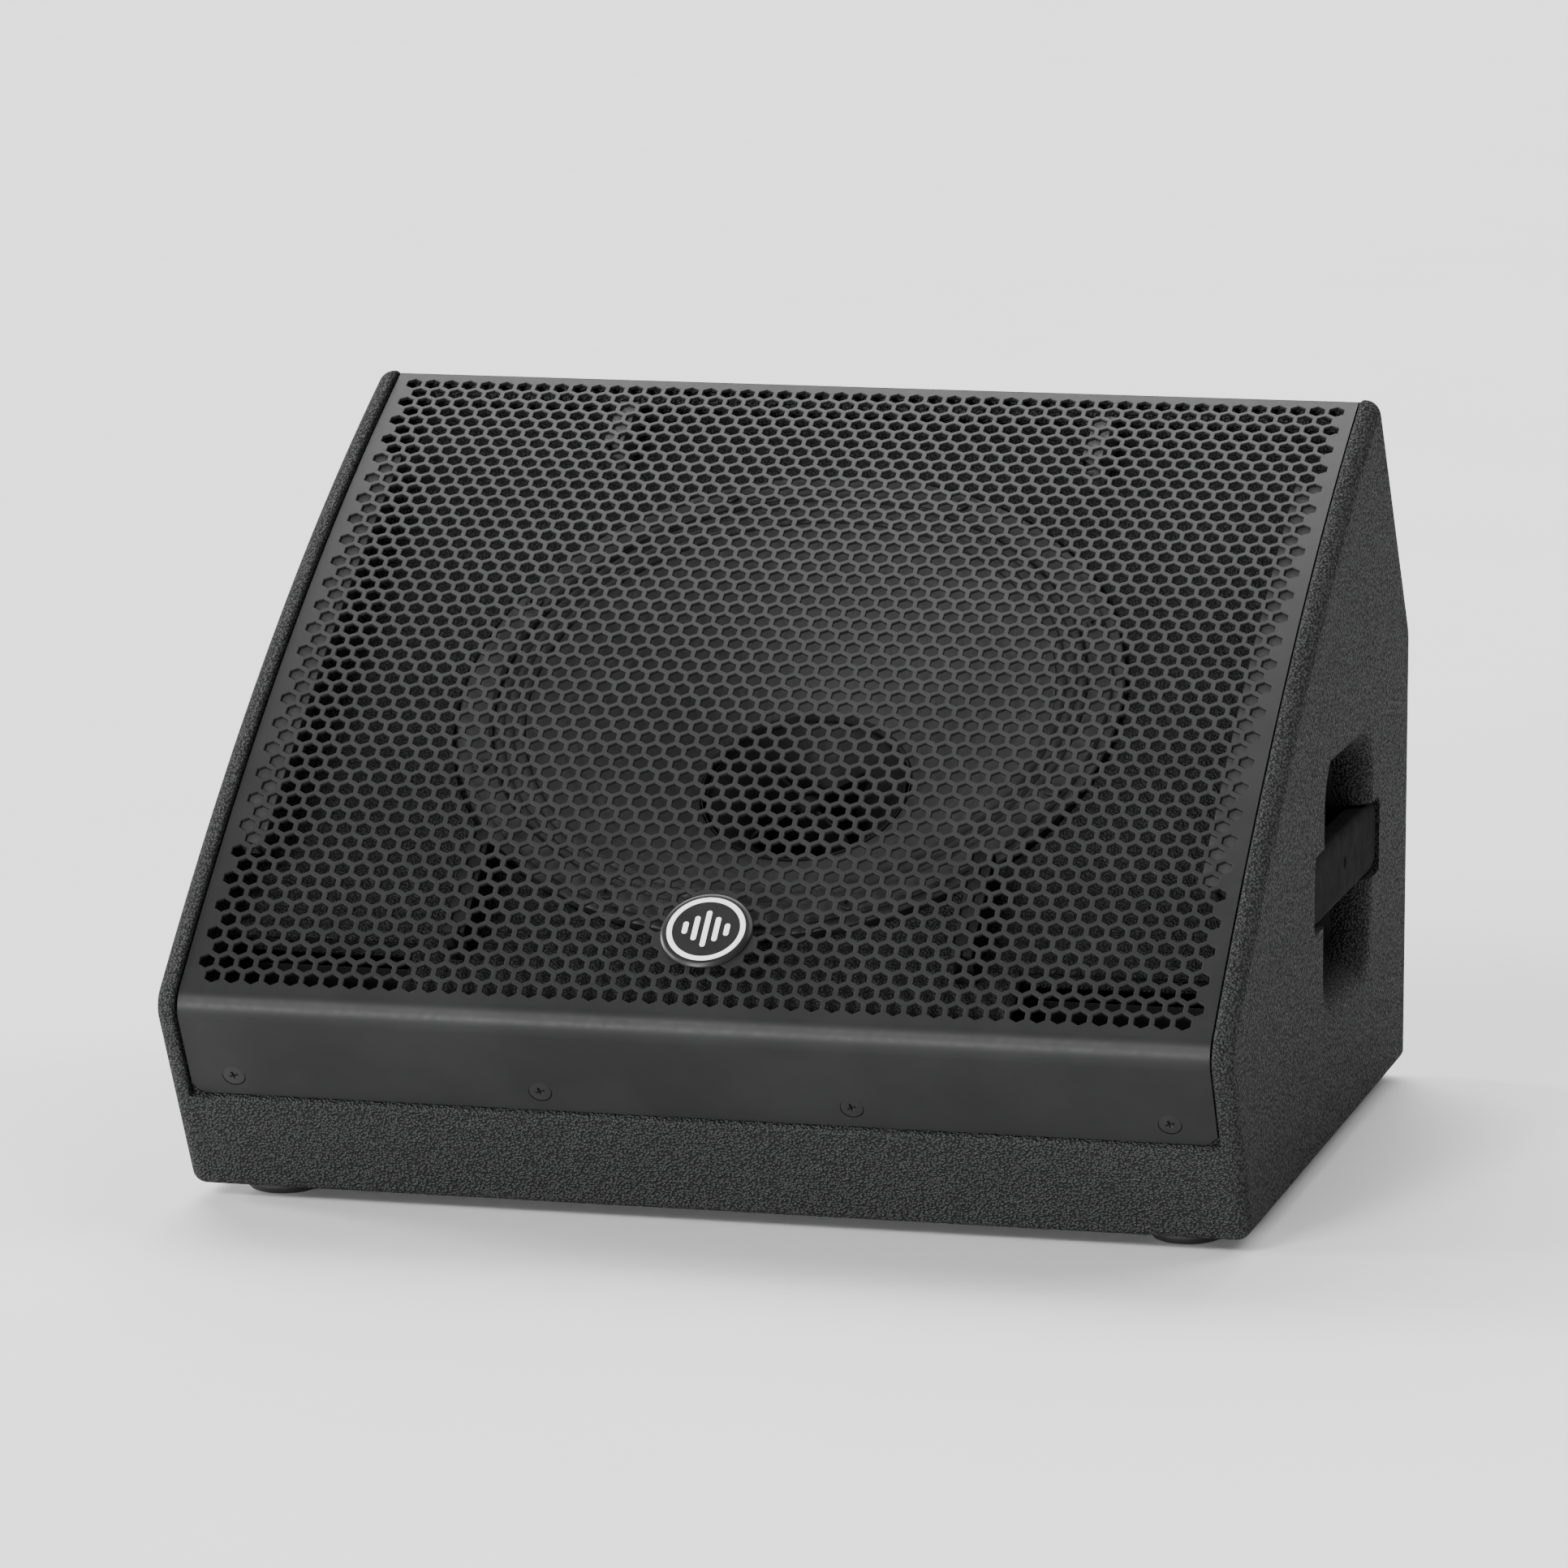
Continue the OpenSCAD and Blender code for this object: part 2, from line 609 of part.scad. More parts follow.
module amp_screws() {
    color([0.12, 0.12, 0.12]) amp_screw_places() {
        rod_y([0, rear - 12, 0], screw_shank - 0.1, 12 - 1.6);
        difference() {
            rod_y([0, rear - 1.9, 0], 3.9, 1.6);
            for (a = [0, 90]) translate([0, rear, 0]) rotate([0, a, 0])
                translate([-2.4, -1.4, -0.5]) cube([4.8, 2, 1]);
        }
    }
}
// Control places on the amplifier's floor, as (x, z) from the tray's centre
jack_x = [28, 66];
jack_z = 38;
link_at = [104, 38];
knob_at = [[28, 2], [66, 2]];
menu_at = [104, 0];
button_at = [[84, -26], [104, -26]];
inlet_at = [100, -54];
rocker_at = [52, -54];
display_at = [40, -27];
module amp_plate() {
    z0 = amp_c - amp_h / 2 + 3;
    z1 = amp_c + amp_h / 2 - 3;
    color([0.1, 0.1, 0.105]) difference() {
        box([-amp_w / 2 + 3, tray_y - floor_t, z0], [amp_w / 2 - 3, tray_y, z1]);
        for (x = jack_x) {
            rod_y([x, tray_y - 5, amp_c + jack_z], 12.2, 10);
            box([x - 3.5, tray_y - 5, amp_c + jack_z + 10], [x + 3.5, tray_y + 5, amp_c + jack_z + 15.4]);
        }
        rod_y([link_at.x, tray_y - 5, amp_c + link_at.y], 12.2, 10);
        for (k = concat(knob_at, [menu_at])) rod_y([k.x, tray_y - 5, amp_c + k.y], 3.6, 10);
        for (b = button_at) rod_y([b.x, tray_y - 5, amp_c + b.y], 3.4, 10);
        box([inlet_at.x - 14.2, tray_y - 5, amp_c + inlet_at.y - 10.2],
            [inlet_at.x + 14.2, tray_y + 5, amp_c + inlet_at.y + 10.2]);
        box([rocker_at.x - 9.7, tray_y - 5, amp_c + rocker_at.y - 14.2],
            [rocker_at.x + 9.7, tray_y + 5, amp_c + rocker_at.y + 14.2]);
    }
}
module heat_sink() {
    fins = 14;
    x0 = -amp_w / 2 + 10;
    w = 118;
    z0 = amp_c - amp_h / 2 + 12;
    h = amp_h - 24;
    fin_t = 2;
    pitch = (w - fin_t) / (fins - 1);
    color([0.08, 0.08, 0.085]) union() {
        box([x0, tray_y + 0.05, z0], [x0 + w, tray_y + 4, z0 + h]);
        for (i = [0:fins - 1]) box([x0 + i * pitch, tray_y + 3, z0], [x0 + i * pitch + fin_t, rear - 4, z0 + h]);
    }
}
module amp_board() {
    y0 = tray_y - floor_t - 20;
    color([0.05, 0.25, 0.12]) {
        box([8, y0 - 1.6, amp_c - 18], [128, y0, amp_c + 62]);
        for (i = [0:3]) box([20 + i * 26, y0 - 10, amp_c - 10], [34 + i * 26, y0 - 1.6, amp_c + 4]);
    }
}
module power_supply() {
    y0 = tray_y - floor_t - 4;
    color([0.6, 0.6, 0.62]) {
        box([-120, y0 - 42, amp_c - 60], [-8, y0, amp_c + 60]);
        rod_y([-90, y0 - 50, amp_c + 20], 16, 8);
        rod_y([-50, y0 - 50, amp_c + 20], 16, 8);
    }
}
module combo_jack(x) {
    translate([x, tray_y, amp_c + jack_z]) color([0.08, 0.08, 0.08]) difference() {
        union() {
            box([-13, 0.05, -14.5], [13, 2, 16.5]);
            rod_y([0, -18, 0], 12, 19);
        }
        rod_y([0, -14, 0], 8.4, 20);
        box([-3.3, -1, 10.6], [3.3, 3, 15.2]);
    }
}
module combo_jack_1() { combo_jack(jack_x[0]); }
module combo_jack_2() { combo_jack(jack_x[1]); }
module jack_latch(x) {
    translate([x, tray_y, amp_c + jack_z]) color([0.75, 0.75, 0.75])
        box([-2.9, 0.6, 11], [2.9, 3.2, 14.8]);
}
module jack_latch_1() { jack_latch(jack_x[0]); }
module jack_latch_2() { jack_latch(jack_x[1]); }
module link_output() {
    translate([link_at.x, tray_y, amp_c + link_at.y]) color([0.08, 0.08, 0.08]) difference() {
        union() {
            box([-13, 0.05, -14.5], [13, 2, 14.5]);
            rod_y([0, -16, 0], 12, 17);
        }
        rod_y([0, -12, 0], 9.4, 20);
        for (a = link_pin_angles) rod_y([4.6 * cos(a), -15, 4.6 * sin(a)], 1.2, 5);
    }
}
link_pin_angles = [90, 210, 330];
module link_pins() {
    translate([link_at.x, tray_y, amp_c + link_at.y]) color([0.8, 0.8, 0.8])
        for (a = link_pin_angles) rod_y([4.6 * cos(a), -15, 4.6 * sin(a)], 1.2, 14);
}
module mains_inlet() {
    translate([inlet_at.x, tray_y, amp_c + inlet_at.y]) color([0.05, 0.05, 0.05]) difference() {
        union() {
            box([-25, 0.05, -12], [25, 2.5, 12]);
            box([-14, -20, -10], [14, 1, 10]);
        }
        box([-12, -17, -8], [12, 5, 8]);
        for (s = [-1, 1]) rod_y([s * 20, -1, 0], 1.8, 5);
    }
}
module mains_pins() {
    translate([inlet_at.x, tray_y, amp_c + inlet_at.y]) color([0.8, 0.8, 0.8]) {
        for (x = [-7, 7]) box([x - 1, -17, -4], [x + 1, -2, 0]);
        box([-1, -17, 1], [1, -1, 5]);
    }
}
rocker_rest = 9;
rocker_pin = 1.2;
rocker_y = tray_y + 0.5;
module power_rocker() {
    translate([rocker_at.x, rocker_y, amp_c + rocker_at.y]) rotate([-rocker_rest, 0, 0])
        color([0.05, 0.05, 0.05]) {
            plate(-6.5, 6.5, [[-5, -7.5], [0.8, -9.6], [2.4, -9.2], [1.5, 0],
                [2.4, 9.2], [0.8, 9.6], [-5, 7.5]]);
            translate([-8.5, 0, 0]) rotate([0, 90, 0]) cylinder(r = rocker_pin, h = 17);
        }
}
module rocker_bezel() {
    color([0.05, 0.05, 0.05]) translate([rocker_at.x, tray_y, amp_c + rocker_at.y]) difference() {
        union() {
            box([-11, 0.05, -16], [11, 1.6, 16]);
            box([-9.5, -12, -14], [9.5, 1, 14]);
        }
        box([-7, -10, -12.4], [7, 3, 12.4]);
        translate([-8.9, rocker_y - tray_y, 0]) rotate([0, 90, 0]) cylinder(r = rocker_pin + 0.35, h = 17.8);
    }
}
module knob(r, h) {
    flutes = 18;
    rotate([-90, 0, 0]) difference() {
        union() {
            cylinder(r = r, h = h - 1);
            cylinder(r = r - 1, h = h);
        }
        for (i = [0:flutes - 1]) rotate(i * 360 / flutes) translate([r + 0.5, 0, 3]) cylinder(r = 0.9, h = h);
        translate([-0.5, 0, h - 0.6]) cube([1, r + 1, 2]);
        translate([0, 0, -1]) cylinder(r = 3.1, h = 7);
    }
}
module knob_at_place(p) { translate([p.x, tray_y + 1.2, amp_c + p.y]) children(); }
module level_knob_1() { color([0.1, 0.1, 0.1]) knob_at_place(knob_at[0]) knob(8, 14); }
module level_knob_2() { color([0.1, 0.1, 0.1]) knob_at_place(knob_at[1]) knob(8, 14); }
module menu_knob() { color([0.1, 0.1, 0.1]) knob_at_place(menu_at) knob(9.5, 13); }
module menu_button(p) {
    color([0.7, 0.7, 0.7]) rod_y([p.x, tray_y - 1.5, amp_c + p.y], 3, 4.5);
}
module menu_button_1() { menu_button(button_at[0]); }
module menu_button_2() { menu_button(button_at[1]); }
module control_shafts() {
    color([0.5, 0.5, 0.5]) {
        for (k = concat(knob_at, [menu_at])) {
            rod_y([k.x, tray_y - 8, amp_c + k.y], 3, 14);
            box([k.x - 6, tray_y - 14, amp_c + k.y - 6], [k.x + 6, tray_y - 6, amp_c + k.y + 6]);
        }
    }
}
module display() {
    color([0.1, 0.12, 0.16]) translate([display_at.x, tray_y, amp_c + display_at.y]) {
        box([-24, 0.05, -9], [24, 1.6, 9]);
        for (i = [0:2]) rod_y([-18 + i * 8, 0.1, 13.5], 1.5, 1.6);
    }
}

side_panel_left();
side_panel_right();
bottom_panel();
front_panel();
baffle();
slope_panel();
rear_panel();
top_rail();
brace();
port_duct_left();
port_duct_right();
grille();
grille_screws();
grille_strips();
grille_pads_upper();
grille_pads_lower();
badge();
handle_cup();
handle_bar();
handle_screws();
feet_front();
feet_rear();
foot_screws();
pole_socket();
pole_socket_screws();
driver_frame();
driver_gasket();
driver_screws();
surround();
cone();
voice_coil();
spider();
top_plate();
magnet();
pole_piece();
hf_horn();
hf_driver();
amp_tray();
amp_plate();
amp_screws();
heat_sink();
amp_board();
power_supply();
combo_jack_1();
combo_jack_2();
jack_latch_1();
jack_latch_2();
link_output();
link_pins();
mains_inlet();
mains_pins();
power_rocker();
rocker_bezel();
level_knob_1();
level_knob_2();
menu_knob();
menu_button_1();
menu_button_2();
control_shafts();
display();
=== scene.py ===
# Stage monitor wedge: visible pieces, materials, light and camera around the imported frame.
# Sizes are in millimetres until a mesh is made. +X right, +Y to the rear, +Z up.
import math

import bmesh
import bpy
from mathutils import Euler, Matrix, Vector
from mathutils.geometry import delaunay_2d_cdt


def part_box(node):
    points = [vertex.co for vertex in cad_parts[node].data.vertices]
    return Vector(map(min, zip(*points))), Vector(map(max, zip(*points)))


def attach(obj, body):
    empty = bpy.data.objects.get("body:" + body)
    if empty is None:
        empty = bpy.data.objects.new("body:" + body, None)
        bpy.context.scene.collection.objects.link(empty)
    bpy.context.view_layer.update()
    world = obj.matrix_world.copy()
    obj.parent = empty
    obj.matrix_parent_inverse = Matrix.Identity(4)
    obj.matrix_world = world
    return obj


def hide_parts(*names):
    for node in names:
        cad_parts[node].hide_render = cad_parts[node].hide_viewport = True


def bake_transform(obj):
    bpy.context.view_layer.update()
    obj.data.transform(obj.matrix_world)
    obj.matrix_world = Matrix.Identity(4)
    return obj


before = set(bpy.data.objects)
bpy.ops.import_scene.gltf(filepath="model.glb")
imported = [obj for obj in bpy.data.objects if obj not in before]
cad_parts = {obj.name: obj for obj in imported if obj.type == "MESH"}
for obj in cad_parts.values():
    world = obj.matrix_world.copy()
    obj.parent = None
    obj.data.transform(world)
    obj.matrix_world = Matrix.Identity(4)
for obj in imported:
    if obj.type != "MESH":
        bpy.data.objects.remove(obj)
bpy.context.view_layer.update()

MM = 0.001


# ---------------------------------------------------------------- the side outline
def box_mm(node):
    """Lowest and highest corner of a CAD node, in millimetres."""
    return [Vector(corner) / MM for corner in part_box(node)]


panel_low, panel_high = box_mm("side_panel_right")
HALF_W = panel_high.x
FRONT, REAR = panel_low.y, panel_high.y
FLOOR, TOP = panel_low.z, panel_high.z
SIDE_T = panel_high.x - panel_low.x
HALF_IN = HALF_W - SIDE_T
LIP_W = 9.5
LIP_IN = HALF_W - LIP_W
LIP_PROUD = 2.7
GRILLE_T = 1.5
GRILLE_BACK = LIP_PROUD + GRILLE_T
RABBET = 12.5
PANEL_T = 15.0
FLANGE_LOW = 52.5
SHELF = FLANGE_LOW - 1.5
FACE_R = 1455.0
TOE_BACK, NOSE_UP, BEND_UP, CREST_IN = 54.7, 93.4, 214.0, 99.5
TOE_R = HEEL_R = 6.0
BEND_R, TOP_R, NOSE_R = 20.0, 12.0, 15.0


def polar(angle):
    """Unit vector in the (y, z) plane at an angle in degrees."""
    return Vector((math.cos(math.radians(angle)), math.sin(math.radians(angle))))


def angle_of(v):
    return math.degrees(math.atan2(v.y, v.x)) % 360


def touch(c1, r1, c2, r2):
    """Outward normal's angle of the line that touches two circles, counterclockwise."""
    d = c2 - c1
    return (angle_of(d) - 90 + math.degrees(math.asin((r1 - r2) / d.length))) % 360


def arc_centre(p1, r1, p2, r2, r):
    """Centre of the arc of radius r that holds both circles from inside."""
    d = (p2 - p1).length
    a, b = r - r1, r - r2
    x = (a * a - b * b + d * d) / (2 * d)
    h = math.sqrt(a * a - x * x)
    e = (p2 - p1) / d
    return p1 + x * e + h * Vector((e.y, -e.x))


TOE = Vector((FRONT + TOE_BACK, FLOOR + TOE_R))
HEEL = Vector((REAR - HEEL_R, FLOOR + HEEL_R))
BEND = Vector((REAR - BEND_R, FLOOR + BEND_UP))
CREST = Vector((REAR - CREST_IN, TOP - TOP_R))
NOSE = Vector((FRONT + NOSE_R, FLOOR + NOSE_UP))
FACE = arc_centre(NOSE, NOSE_R, CREST, TOP_R, FACE_R)
A_TOP = angle_of(CREST - FACE)
A_NOSE = angle_of(NOSE - FACE)
A_FRONT = touch(NOSE, NOSE_R, TOE, TOE_R)
A_SLOPE = touch(BEND, BEND_R, CREST, TOP_R)
A_MID = (A_TOP + A_NOSE) / 2
GRILLE_R = FACE_R - LIP_PROUD
FACE_0 = FACE + GRILLE_R * polar(A_MID)
UP_FACE, OUT_FACE = polar(A_MID - 90), polar(A_MID)
FRONT_N = polar(A_FRONT)
FRONT_UP = Vector((FRONT_N.y, -FRONT_N.x))
FRONT_LEN = (NOSE - TOE).length

SLOPE_N = polar(A_SLOPE)
SLOPE_DOWN = Vector((SLOPE_N.y, -SLOPE_N.x))


def slope_at(u, inset):
    """Point u down the rear slope from the crest, inset from the outline."""
    return CREST + (TOP_R - inset) * SLOPE_N + u * SLOPE_DOWN


def under_face(slope_inset, face_inset):
    """Point that is inset from both the rear slope and the crowned face."""
    q = slope_at(0, slope_inset) - FACE
    along, r = q.dot(SLOPE_DOWN), FACE_R - face_inset
    return slope_at(-along - math.sqrt(along * along - q.dot(q) + r * r), slope_inset)


RIM_R = 5.0
RIM_TOP = GRILLE_BACK + 0.1
RIM = under_face(RIM_R, RIM_TOP + RIM_R)
A_RIM_BACK = angle_of(RIM - FACE)
A_RIM_IN = A_TOP - 0.05

BAFFLE_DROP = 31.0
DRIVER_S = 8.0


def front_at(u, inset):
    """Point u up the front face from the toe, inset from the outline."""
    return TOE + (TOE_R - inset) * FRONT_N + u * FRONT_UP


def face_at(s, h):
    """Point s up the face from its middle and h out of its tangent plane."""
    return FACE_0 + s * UP_FACE + h * OUT_FACE


def on_face(x, s, h):
    p = face_at(s, h)
    return Vector((x, p.x, p.y))


def on_driver(x, y, z):
    """Point in the driver's own frame: z is its axis, zero on the baffle."""
    return on_face(x, DRIVER_S + y, z - BAFFLE_DROP)


def arc(centre, radius, start, sweep, steps):
    return [centre + radius * polar(start + sweep * i / steps) for i in range(steps + 1)]


def moved_arc(centre, radius, a0, a1, insets):
    """An arc moved inwards; past its own radius it becomes the corner of its two neighbours."""
    points = []
    for i, d in enumerate(insets):
        if radius > d:
            points.append(centre + (radius - d) * polar(a0 + (a1 - a0) * i / (len(insets) - 1)))
        else:
            half = math.radians(a1 - a0) / 2
            points.append(centre + (radius - d) / math.cos(half) * polar((a0 + a1) / 2))
    return points


# name, arc centre, arc radius, first and last angle, steps
STRETCHES = (("heel", HEEL, HEEL_R, -90, 0, 6), ("bend", BEND, BEND_R, 0, A_SLOPE, 8),
             ("crest", CREST, TOP_R, A_SLOPE, A_TOP, 12), ("face", FACE, FACE_R, A_TOP, A_NOSE, 64),
             ("nose", NOSE, NOSE_R, A_NOSE, A_FRONT, 14), ("toe", TOE, TOE_R, A_FRONT, 270, 6))


def outline(inset, rabbeted=False):
    """The side outline, counterclockwise, with each corner's arc moved inwards.
    inset is a function of (stretch, fraction along it). A rabbeted outline follows the rim
    under the grille's top edge in place of the crest."""
    points = []
    for name, centre, radius, a0, a1, steps in STRETCHES:
        if rabbeted and name == "crest":
            half = steps // 2
            points += arc(RIM, RIM_R, A_SLOPE, A_RIM_BACK - A_SLOPE, half)[:-1]
            points += arc(FACE, FACE_R - RIM_TOP, A_RIM_BACK, A_RIM_IN - A_RIM_BACK, half)
            continue
        if rabbeted and name == "face":
            a0 = A_RIM_IN
        if name == "toe":
            points += [front_at(SHELF, inset(stretch, 0)) for stretch in ("flange", "front")]
        points += moved_arc(centre, radius, a0, a1, [inset(name, i / steps) for i in range(steps + 1)])
    return points


# ---------------------------------------------------------------- materials
def grey(level, tint=0.0):
    """A near-neutral colour; a positive tint leans to blue."""
    return (level * (1 - tint), level, level * (1 + 2 * tint))


class Look:
    """A procedural material; its methods add nodes and return their outputs."""

    def __init__(self, name):
        self.material = bpy.data.materials.new(name)
        self.material.use_nodes = True
        self.tree = self.material.node_tree
        self.shader = self.tree.nodes["Principled BSDF"]
        self.coords = self.tree.nodes.new("ShaderNodeTexCoord").outputs["Object"]

    def feed(self, node, values):
        """Gives inputs their values, or links them to other nodes' outputs."""
        for name, value in values.items():
            if isinstance(value, bpy.types.NodeSocket):
                self.tree.links.new(value, node.inputs[name])
            else:
                node.inputs[name].default_value = value

    def add(self, kind, output, values):
        node = self.tree.nodes.new("ShaderNode" + kind)
        self.feed(node, values)
        return node.outputs[output]

    def noise(self, scale, detail=2.0, stretch=None, roughness=0.5):
        source = self.coords
        if stretch:
            source = self.add("Mapping", "Vector", {"Scale": stretch, "Vector": source})
        return self.add("TexNoise", "Fac", {"Scale": scale, "Detail": detail, "Roughness": roughness,
                                            "Vector": source})

    def cells(self, scale):
        """Distance to the middle of round cells."""
        return self.add("TexVoronoi", "Distance", {"Scale": scale, "Vector": self.coords})

    def spread(self, value, low, high, to_low, to_high):
        return self.add("MapRange", "Result", {"Value": value, "From Min": low, "From Max": high,
                                               "To Min": to_low, "To Max": to_high})

    def tones(self, fac, dark, light, at=(0.35, 0.65)):
        """A blend of two colours; a plain number is a grey."""
        ramp = self.tree.nodes.new("ShaderNodeValToRGB")
        for element, position, colour in zip(ramp.color_ramp.elements, at, (dark, light)):
            element.position = position
            element.color = (*(colour if isinstance(colour, tuple) else grey(colour)), 1)
        self.feed(ramp, {"Fac": fac})
        return ramp.outputs["Color"]

    def multiply(self, a, b):
        node = self.tree.nodes.new("ShaderNodeMath")
        node.operation = "MULTIPLY"
        self.tree.links.new(a, node.inputs[0])
        self.tree.links.new(b, node.inputs[1])
        return node.outputs[0]

    def bump(self, height, strength, distance, under=None):
        values = {"Height": height, "Strength": strength, "Distance": distance * MM}
        if under:
            values["Normal"] = under
        return self.add("Bump", "Normal", values)

    def shade(self, colour, roughness, normal, **levels):
        """Joins the nodes to the shader; levels are constants, with underscores for spaces."""
        self.feed(self.shader, {"Base Color": colour, "Roughness": roughness, "Normal": normal})
        self.feed(self.shader, {name.replace("_", " "): level for name, level in levels.items()})
        return self.material


def surface(name, dark, light, rough, rough_vary=0.06, grain=900, grain_depth=0.02, metal=0.0,
            stretch=None, coat=0.0, specular=0.5, tone_scale=60):
    """A material with slow colour variation, varied gloss and a fine surface grain."""
    look = Look(name)
    tone = look.tones(look.noise(tone_scale, 4), dark, light)
    gloss = look.spread(look.noise(tone_scale * 3, 3), 0.3, 0.7, rough - rough_vary, rough + rough_vary)
    normal = look.bump(look.noise(grain, 3, stretch), 0.6, grain_depth)
    return look.shade(tone, gloss, normal, Metallic=metal, Coat_Weight=coat, Coat_Roughness=0.08,
                      Specular_IOR_Level=specular)


def coating_material(name, dark, light):
    """Sprayed granular coating: round beads about a millimetre wide, painted shade in the gaps between them,
    fine grit on top.
    """
    look = Look(name)
    domes = look.spread(look.cells(760), 0.15, 0.75, 1.0, 0.0)
    beads = look.multiply(domes, look.spread(look.noise(640), 0.35, 0.65, 0.5, 1.0))
    # colour follows the bead height: painted shade in the gaps between the beads, lighter colour on the bead
    # tops
    tone = look.tones(beads, dark, light, at=(0.0, 0.75))
    coarse = look.bump(look.noise(90, 3), 0.12, 0.5)
    beaded = look.bump(beads, 1.0, 2.2, coarse)
    grit = look.bump(look.noise(2300, 2, roughness=0.6), 0.5, 0.12, beaded)
    look.shader.distribution = "GGX"
    return look.shade(tone, look.spread(beads, 0.1, 0.8, 0.9, 0.42), grit, Specular_IOR_Level=0.06)


def grille_material():
    """Satin powder coat with a fine orange peel."""
    look = Look("grille_powder_coat")
    tone = look.tones(look.noise(25, 3), grey(0.0125, 0.01), grey(0.016, 0.01))
    gloss = look.spread(look.noise(300), 0.3, 0.7, 0.41, 0.47)
    return look.shade(tone, gloss, look.bump(look.noise(1500), 0.35, 0.03), Specular_IOR_Level=0.15)


def plywood_material():
    """Birch plywood: long grain streaks over a warm ground."""
    look = Look("birch_plywood")
    streaks = look.noise(60, 5, (0.12, 1, 1))
    return look.shade(look.tones(streaks, (0.36, 0.24, 0.13), (0.62, 0.46, 0.29)),
                      look.spread(streaks, 0.3, 0.7, 0.5, 0.65), look.bump(streaks, 0.3, 0.15))


def foam_material():
    """Open-cell foam: small pits all over, with painted shade in the pits."""
    look = Look("open_cell_foam")
    pits = look.cells(900)
    # the pits are darker: painted shade
    return look.shade(look.tones(pits, 0.022, 0.06, at=(0.1, 0.7)), look.spread(pits, 0, 1, 0.85, 0.98),
                      look.bump(pits, 0.8, 0.4))


def cone_material():
    """Felted black paper with short fibres."""
    look = Look("felted_paper")
    fibres = look.noise(420, 6, (1, 0.35, 0.35), 0.75)
    return look.shade(look.tones(fibres, 0.012, 0.034), look.spread(fibres, 0.3, 0.7, 0.62, 0.8),
                      look.bump(fibres, 0.7, 0.3))


def cloth_material(name, dark, light):
    """Resin-treated cloth with a fine square weave."""
    look = Look(name)
    threads = []
    for axis in ("X", "Y"):
        wave = look.add("TexWave", "Fac", {"Scale": 420, "Distortion": 0.4, "Vector": look.coords})
        wave.node.bands_direction = axis
        threads.append(wave)
    weave = look.multiply(*threads)
    return look.shade(look.tones(weave, dark, light, at=(0.1, 0.7)), look.spread(weave, 0, 1, 0.75, 0.6),
                      look.bump(weave, 0.5, 0.15))


# the darker colour of each coating is painted shade in the gaps between its beads
COATING = coating_material("granular_coating", grey(0.014, 0.01), grey(0.066, 0.01))
BAFFLE_COATING = coating_material("baffle_coating", grey(0.018, 0.01), grey(0.058, 0.01))
GRILLE_PAINT = grille_material()
PLYWOOD = plywood_material()
FOAM = foam_material()
CONE_PAPER = cone_material()
SURROUND_CLOTH = cloth_material("surround_cloth", 0.012, 0.03)
SPIDER_CLOTH = cloth_material("spider_cloth", (0.42, 0.28, 0.1), (0.68, 0.5, 0.22))
BLACK_SCREW = surface("black_screw", 0.010, 0.015, 0.42, grain=500, specular=0.25)
ZINC = surface("zinc_plate", (0.5, 0.5, 0.5), (0.66, 0.66, 0.64), 0.32, metal=1.0)
BARE_STEEL = surface("bare_steel", (0.32, 0.32, 0.33), (0.46, 0.46, 0.47), 0.36, metal=1.0,
                     stretch=(1, 1, 6))
NICKEL = surface("nickel", (0.6, 0.59, 0.56), (0.72, 0.71, 0.68), 0.22, metal=1.0)
BADGE_BLACK = surface("badge_black", 0.006, 0.009, 0.38, 0.03, grain_depth=0.004, specular=0.3)
BADGE_WHITE = surface("badge_white", 0.82, 0.88, 0.4, 0.03, grain_depth=0.004)
BAR_RUBBER = surface("bar_rubber", 0.008, 0.012, 0.85, grain=1400, grain_depth=0.05, specular=0.02)
FOOT_RUBBER = surface("foot_rubber", 0.008, 0.014, 0.62, grain=1200, grain_depth=0.04)
PLASTIC = surface("moulded_plastic", 0.014, 0.022, 0.45, grain=1600, grain_depth=0.04)
SOFT_GRIP = surface("knob_grip", 0.01, 0.016, 0.6, grain=2000, grain_depth=0.03)
CAST_METAL = surface("cast_frame", 0.02, 0.034, 0.5, grain=700, grain_depth=0.08, metal=0.3)
COPPER = surface("coil_copper", (0.55, 0.24, 0.09), (0.8, 0.4, 0.17), 0.3, metal=1.0, stretch=(1, 1, 20))
FERRITE = surface("ferrite", 0.02, 0.035, 0.7, grain=500, grain_depth=0.1)
AMP_PAINT = surface("amp_powder_coat", 0.014, 0.022, 0.5, grain=1100, grain_depth=0.07)
BLACK_ALUMINIUM = surface("black_anodised", 0.016, 0.026, 0.36, metal=0.6, stretch=(6, 1, 1))
BOARD_GREEN = surface("solder_mask", (0.01, 0.09, 0.035), (0.02, 0.14, 0.06), 0.35, coat=0.2)
FOLDED_SHEET = surface("folded_sheet", (0.42, 0.42, 0.43), (0.56, 0.56, 0.57), 0.4, metal=1.0)
SCREEN = surface("display_window", 0.006, 0.012, 0.1, 0.03, grain_depth=0.002, coat=1.0)
PORT_BLACK = surface("port_black", 0.004, 0.008, 0.8)
LABEL_WHITE = surface("printed_white", 0.55, 0.65, 0.5, grain_depth=0.002)
LABEL_GREY = surface("button_cap", 0.22, 0.28, 0.45, grain=1600)
LAMP_GREEN = surface("lamp_lens", (0.02, 0.16, 0.05), (0.03, 0.24, 0.08), 0.2, grain_depth=0.002, coat=0.6)
GASKET = surface("gasket_foam", 0.016, 0.03, 0.85, grain=1500, grain_depth=0.08)
STRIP_FELT = surface("strip_felt", 0.023, 0.03, 0.85, grain=700, grain_depth=0.06, specular=0.2)
